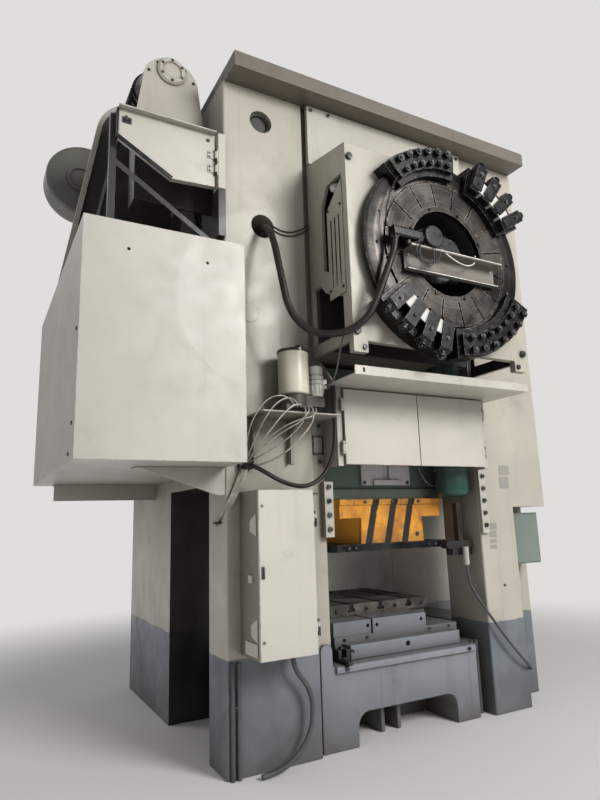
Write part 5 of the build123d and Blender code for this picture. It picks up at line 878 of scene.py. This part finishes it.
def motor_details():
    """Terminal cover, ribs and cable gland of the small pump motor; fan grille of the main motor's blower."""
    small = bmesh.new()
    box_into(small, (-0.900, -1.600, 2.672), (-0.892, -1.540, 2.746))
    rows = [(0.012, 0), (0.012, 0.014), (0.009, 0.022), (0, 0.022)]
    ring_into(small, rows, facing((-0.911, -1.57, 2.672), (0, 0, -1)), 12)
    for z in (2.70, 2.735, 2.77):
        matrix = Matrix.Translation((-0.972, -1.57, z))
        ring_into(small, [(0.057, -0.003), (0.0605, -0.003), (0.0605, 0.003), (0.057, 0.003)], matrix, 40)
    new_piece("pump_motor_trim", small, "pump_metal")
    grille = bmesh.new()
    matrix = facing((-2.345, 1.452, 5.59), (0, 1, 0))
    for radius in (0.08, 0.14, 0.20, 0.26, 0.32):
        inner, outer = radius - 0.006, radius + 0.006
        ring_into(grille, [(inner, -0.004), (inner, 0.004), (outer, 0.004), (outer, -0.004)], matrix, 64)
    new_piece("blower_grille", grille, "bolt_steel")


def guard_details():
    """Screws round the belt guard and the flap, and the dark seal along the flap's lower edge."""
    screws = bmesh.new()
    for degrees in (20, 55, 90, 125, 160):
        angle = math.radians(degrees)
        place = (-2.01 + 0.205 * math.cos(angle), -1.1105, 5.33 + 0.205 * math.sin(angle))
        bolt_into(screws, place, (0, -1, 0), 0.011)
    for index in range(6):
        angle = math.radians(60 * index + 30)
        place = (-2.01 + 0.095 * math.cos(angle), -1.1405, 5.445 + 0.095 * math.sin(angle))
        bolt_into(screws, place, (0, -1, 0), 0.010)
    for x in (-2.24, -1.80, -1.70):
        bolt_into(screws, (x, -1.1105, 4.90), (0, -1, 0), 0.011)
    new_piece("guard_screws", screws, "bolt_steel")
    flap = bmesh.new()
    for x in (-2.44, -1.80):
        bolt_into(flap, (x, -1.4305, 4.66), (0, -1, 0), 0.012)
    box_into(flap, (-2.47, -1.4345, 4.610), (-2.40, -1.4300, 4.66))
    for z in (4.385, 4.505):
        for dz in (0.014, 0.046):
            bolt_into(flap, (-1.790, -1.4365, z + dz), (0, -1, 0), 0.007)
    new_piece("flap_fittings", flap, "bolt_steel", body="flap_body")
    strips = bmesh.new()
    reach = Vector((-2.090 + 2.500, 0, 4.250 - 4.490))
    turn = Matrix.Rotation(math.atan2(-reach.z, reach.x), 4, "Y")
    middle = Vector((-2.295, -1.434, 4.371))
    half = Vector((reach.length / 2, 0.004, 0.016))
    box_into(strips, middle - half, middle + half, turn)
    box_into(strips, (-2.508, -1.438, 4.485), (-2.494, -1.386, 4.725))
    new_piece("flap_seal", strips, "belt_rubber", body="flap_body", edge=0.002)


def cabinet_details():
    """Hinge pins, screws and handle of the cabinet, and the straps that hold pipes to the stand."""
    pieces = bmesh.new()
    for z in (0.93, 1.66):
        ring_into(pieces, [(0.010, -0.03), (0.010, 0.03), (0, 0.03)], Matrix.Translation((-1.108, -1.728, z)), 16)
    new_piece("cabinet_hinge_pins", pieces, "bolt_steel")
    door = bmesh.new()
    for z in (0.90, 1.78):
        bolt_into(door, (-1.525, -1.7305, z), (0, -1, 0), 0.008, sunk=True)
    box_into(door, (-1.535, -1.738, 1.30), (-1.515, -1.729, 1.38))
    new_piece("cabinet_door_trim", door, "bolt_steel", body="cab_door", edge=0.001)
    strap = bmesh.new()
    box_into(strap, (-1.100, -1.415, 1.87), (-0.90, -1.400, 1.885))
    box_into(strap, (-1.640, -1.420, 0.42), (-1.56, -1.397, 0.45))
    box_into(strap, (0.672, -1.275, 0.42), (0.758, -1.247, 0.44))
    new_piece("pipe_straps", strap, "bolt_steel", edge=0.002)


for make in (caliper_bolts, caliper_springs, caliper_plugs, rotor_screws, bracket_details, switch_fittings,
             switch_loops, housing_details, stand_details, brake_leads, die_details, table_details,
             lubrication_details, supply_pipes, side_details, motor_details, guard_details, cabinet_details):
    make()


# Floor, sky and lamps
BACKDROP = (0.74, 0.73, 0.715, 1)


def floor_material():
    """Pale floor that fades into the backdrop away from the press."""
    material = bpy.data.materials.new("floor_pale")
    material.use_nodes = True
    tree = material.node_tree
    shader = tree.nodes["Principled BSDF"]
    shader.inputs["Base Color"].default_value = (0.88, 0.87, 0.86, 1)
    shader.inputs["Roughness"].default_value = 0.7
    shader.inputs["Specular IOR Level"].default_value = 0.25
    coord = tree.nodes.new("ShaderNodeTexCoord")
    distance = tree.nodes.new("ShaderNodeVectorMath")
    distance.operation = "LENGTH"
    fade = tree.nodes.new("ShaderNodeMapRange")
    fade.interpolation_type = "SMOOTHSTEP"
    fade.inputs["From Min"].default_value = 3.2
    fade.inputs["From Max"].default_value = 8.0
    glow = tree.nodes.new("ShaderNodeEmission")
    glow.inputs["Color"].default_value = BACKDROP
    mixer = tree.nodes.new("ShaderNodeMixShader")
    tree.links.new(coord.outputs["Object"], distance.inputs[0])
    tree.links.new(distance.outputs["Value"], fade.inputs["Value"])
    tree.links.new(fade.outputs["Result"], mixer.inputs[0])
    tree.links.new(shader.outputs[0], mixer.inputs[1])
    tree.links.new(glow.outputs[0], mixer.inputs[2])
    tree.links.new(mixer.outputs[0], tree.nodes["Material Output"].inputs["Surface"])
    return material


def make_floor():
    """Wide plane just under the press, which belongs to the studio and not to the part."""
    bpy.ops.mesh.primitive_plane_add(size=120, location=(0, 0, -0.002))
    floor = bpy.context.object
    floor.name = "floor"
    floor.data.materials.append(floor_material())


def make_world():
    """Dim soft sky for the light, and the plain backdrop where the camera sees it."""
    world = bpy.data.worlds.new("studio")
    bpy.context.scene.world = world
    world.use_nodes = True
    tree = world.node_tree
    background = tree.nodes["Background"]
    background.inputs["Color"].default_value = (0.84, 0.85, 0.87, 1)
    background.inputs["Strength"].default_value = 0.29
    shown = tree.nodes.new("ShaderNodeBackground")
    shown.inputs["Color"].default_value = BACKDROP
    shown.inputs["Strength"].default_value = 1.0
    rays = tree.nodes.new("ShaderNodeLightPath")
    either = tree.nodes.new("ShaderNodeMath")
    either.operation = "MAXIMUM"
    tree.links.new(rays.outputs["Is Camera Ray"], either.inputs[0])
    tree.links.new(rays.outputs["Is Transmission Ray"], either.inputs[1])
    mixer = tree.nodes.new("ShaderNodeMixShader")
    tree.links.new(either.outputs[0], mixer.inputs[0])
    tree.links.new(background.outputs[0], mixer.inputs[1])
    tree.links.new(shown.outputs[0], mixer.inputs[2])
    tree.links.new(mixer.outputs[0], tree.nodes["World Output"].inputs["Surface"])


def lamp(name, place, target, size, power, tint=(1, 1, 1)):
    """Round soft lamp at a place, aimed at a target."""
    data = bpy.data.lights.new(name, "AREA")
    data.shape = "DISK"
    data.size = size
    data.energy = power
    data.color = tint
    obj = bpy.data.objects.new(name, data)
    bpy.context.scene.collection.objects.link(obj)
    aim = Vector(target) - Vector(place)
    obj.matrix_world = Matrix.Translation(place) @ aim.to_track_quat("-Z", "Y").to_matrix().to_4x4()


make_floor()
make_world()
lamp("key", (3.4, -11.5, 7.5), (-0.3, -1.2, 2.7), 5.0, 1120, (1.0, 0.985, 0.96))
lamp("side", (-10.0, -6.5, 5.0), (-1.0, -1, 2.4), 5.0, 30, (0.97, 0.98, 1.0))
lamp("rim", (-8.0, 6.0, 9.0), (-1, 0, 3), 5.0, 150)

bpy.context.scene.view_settings.view_transform = "Standard"
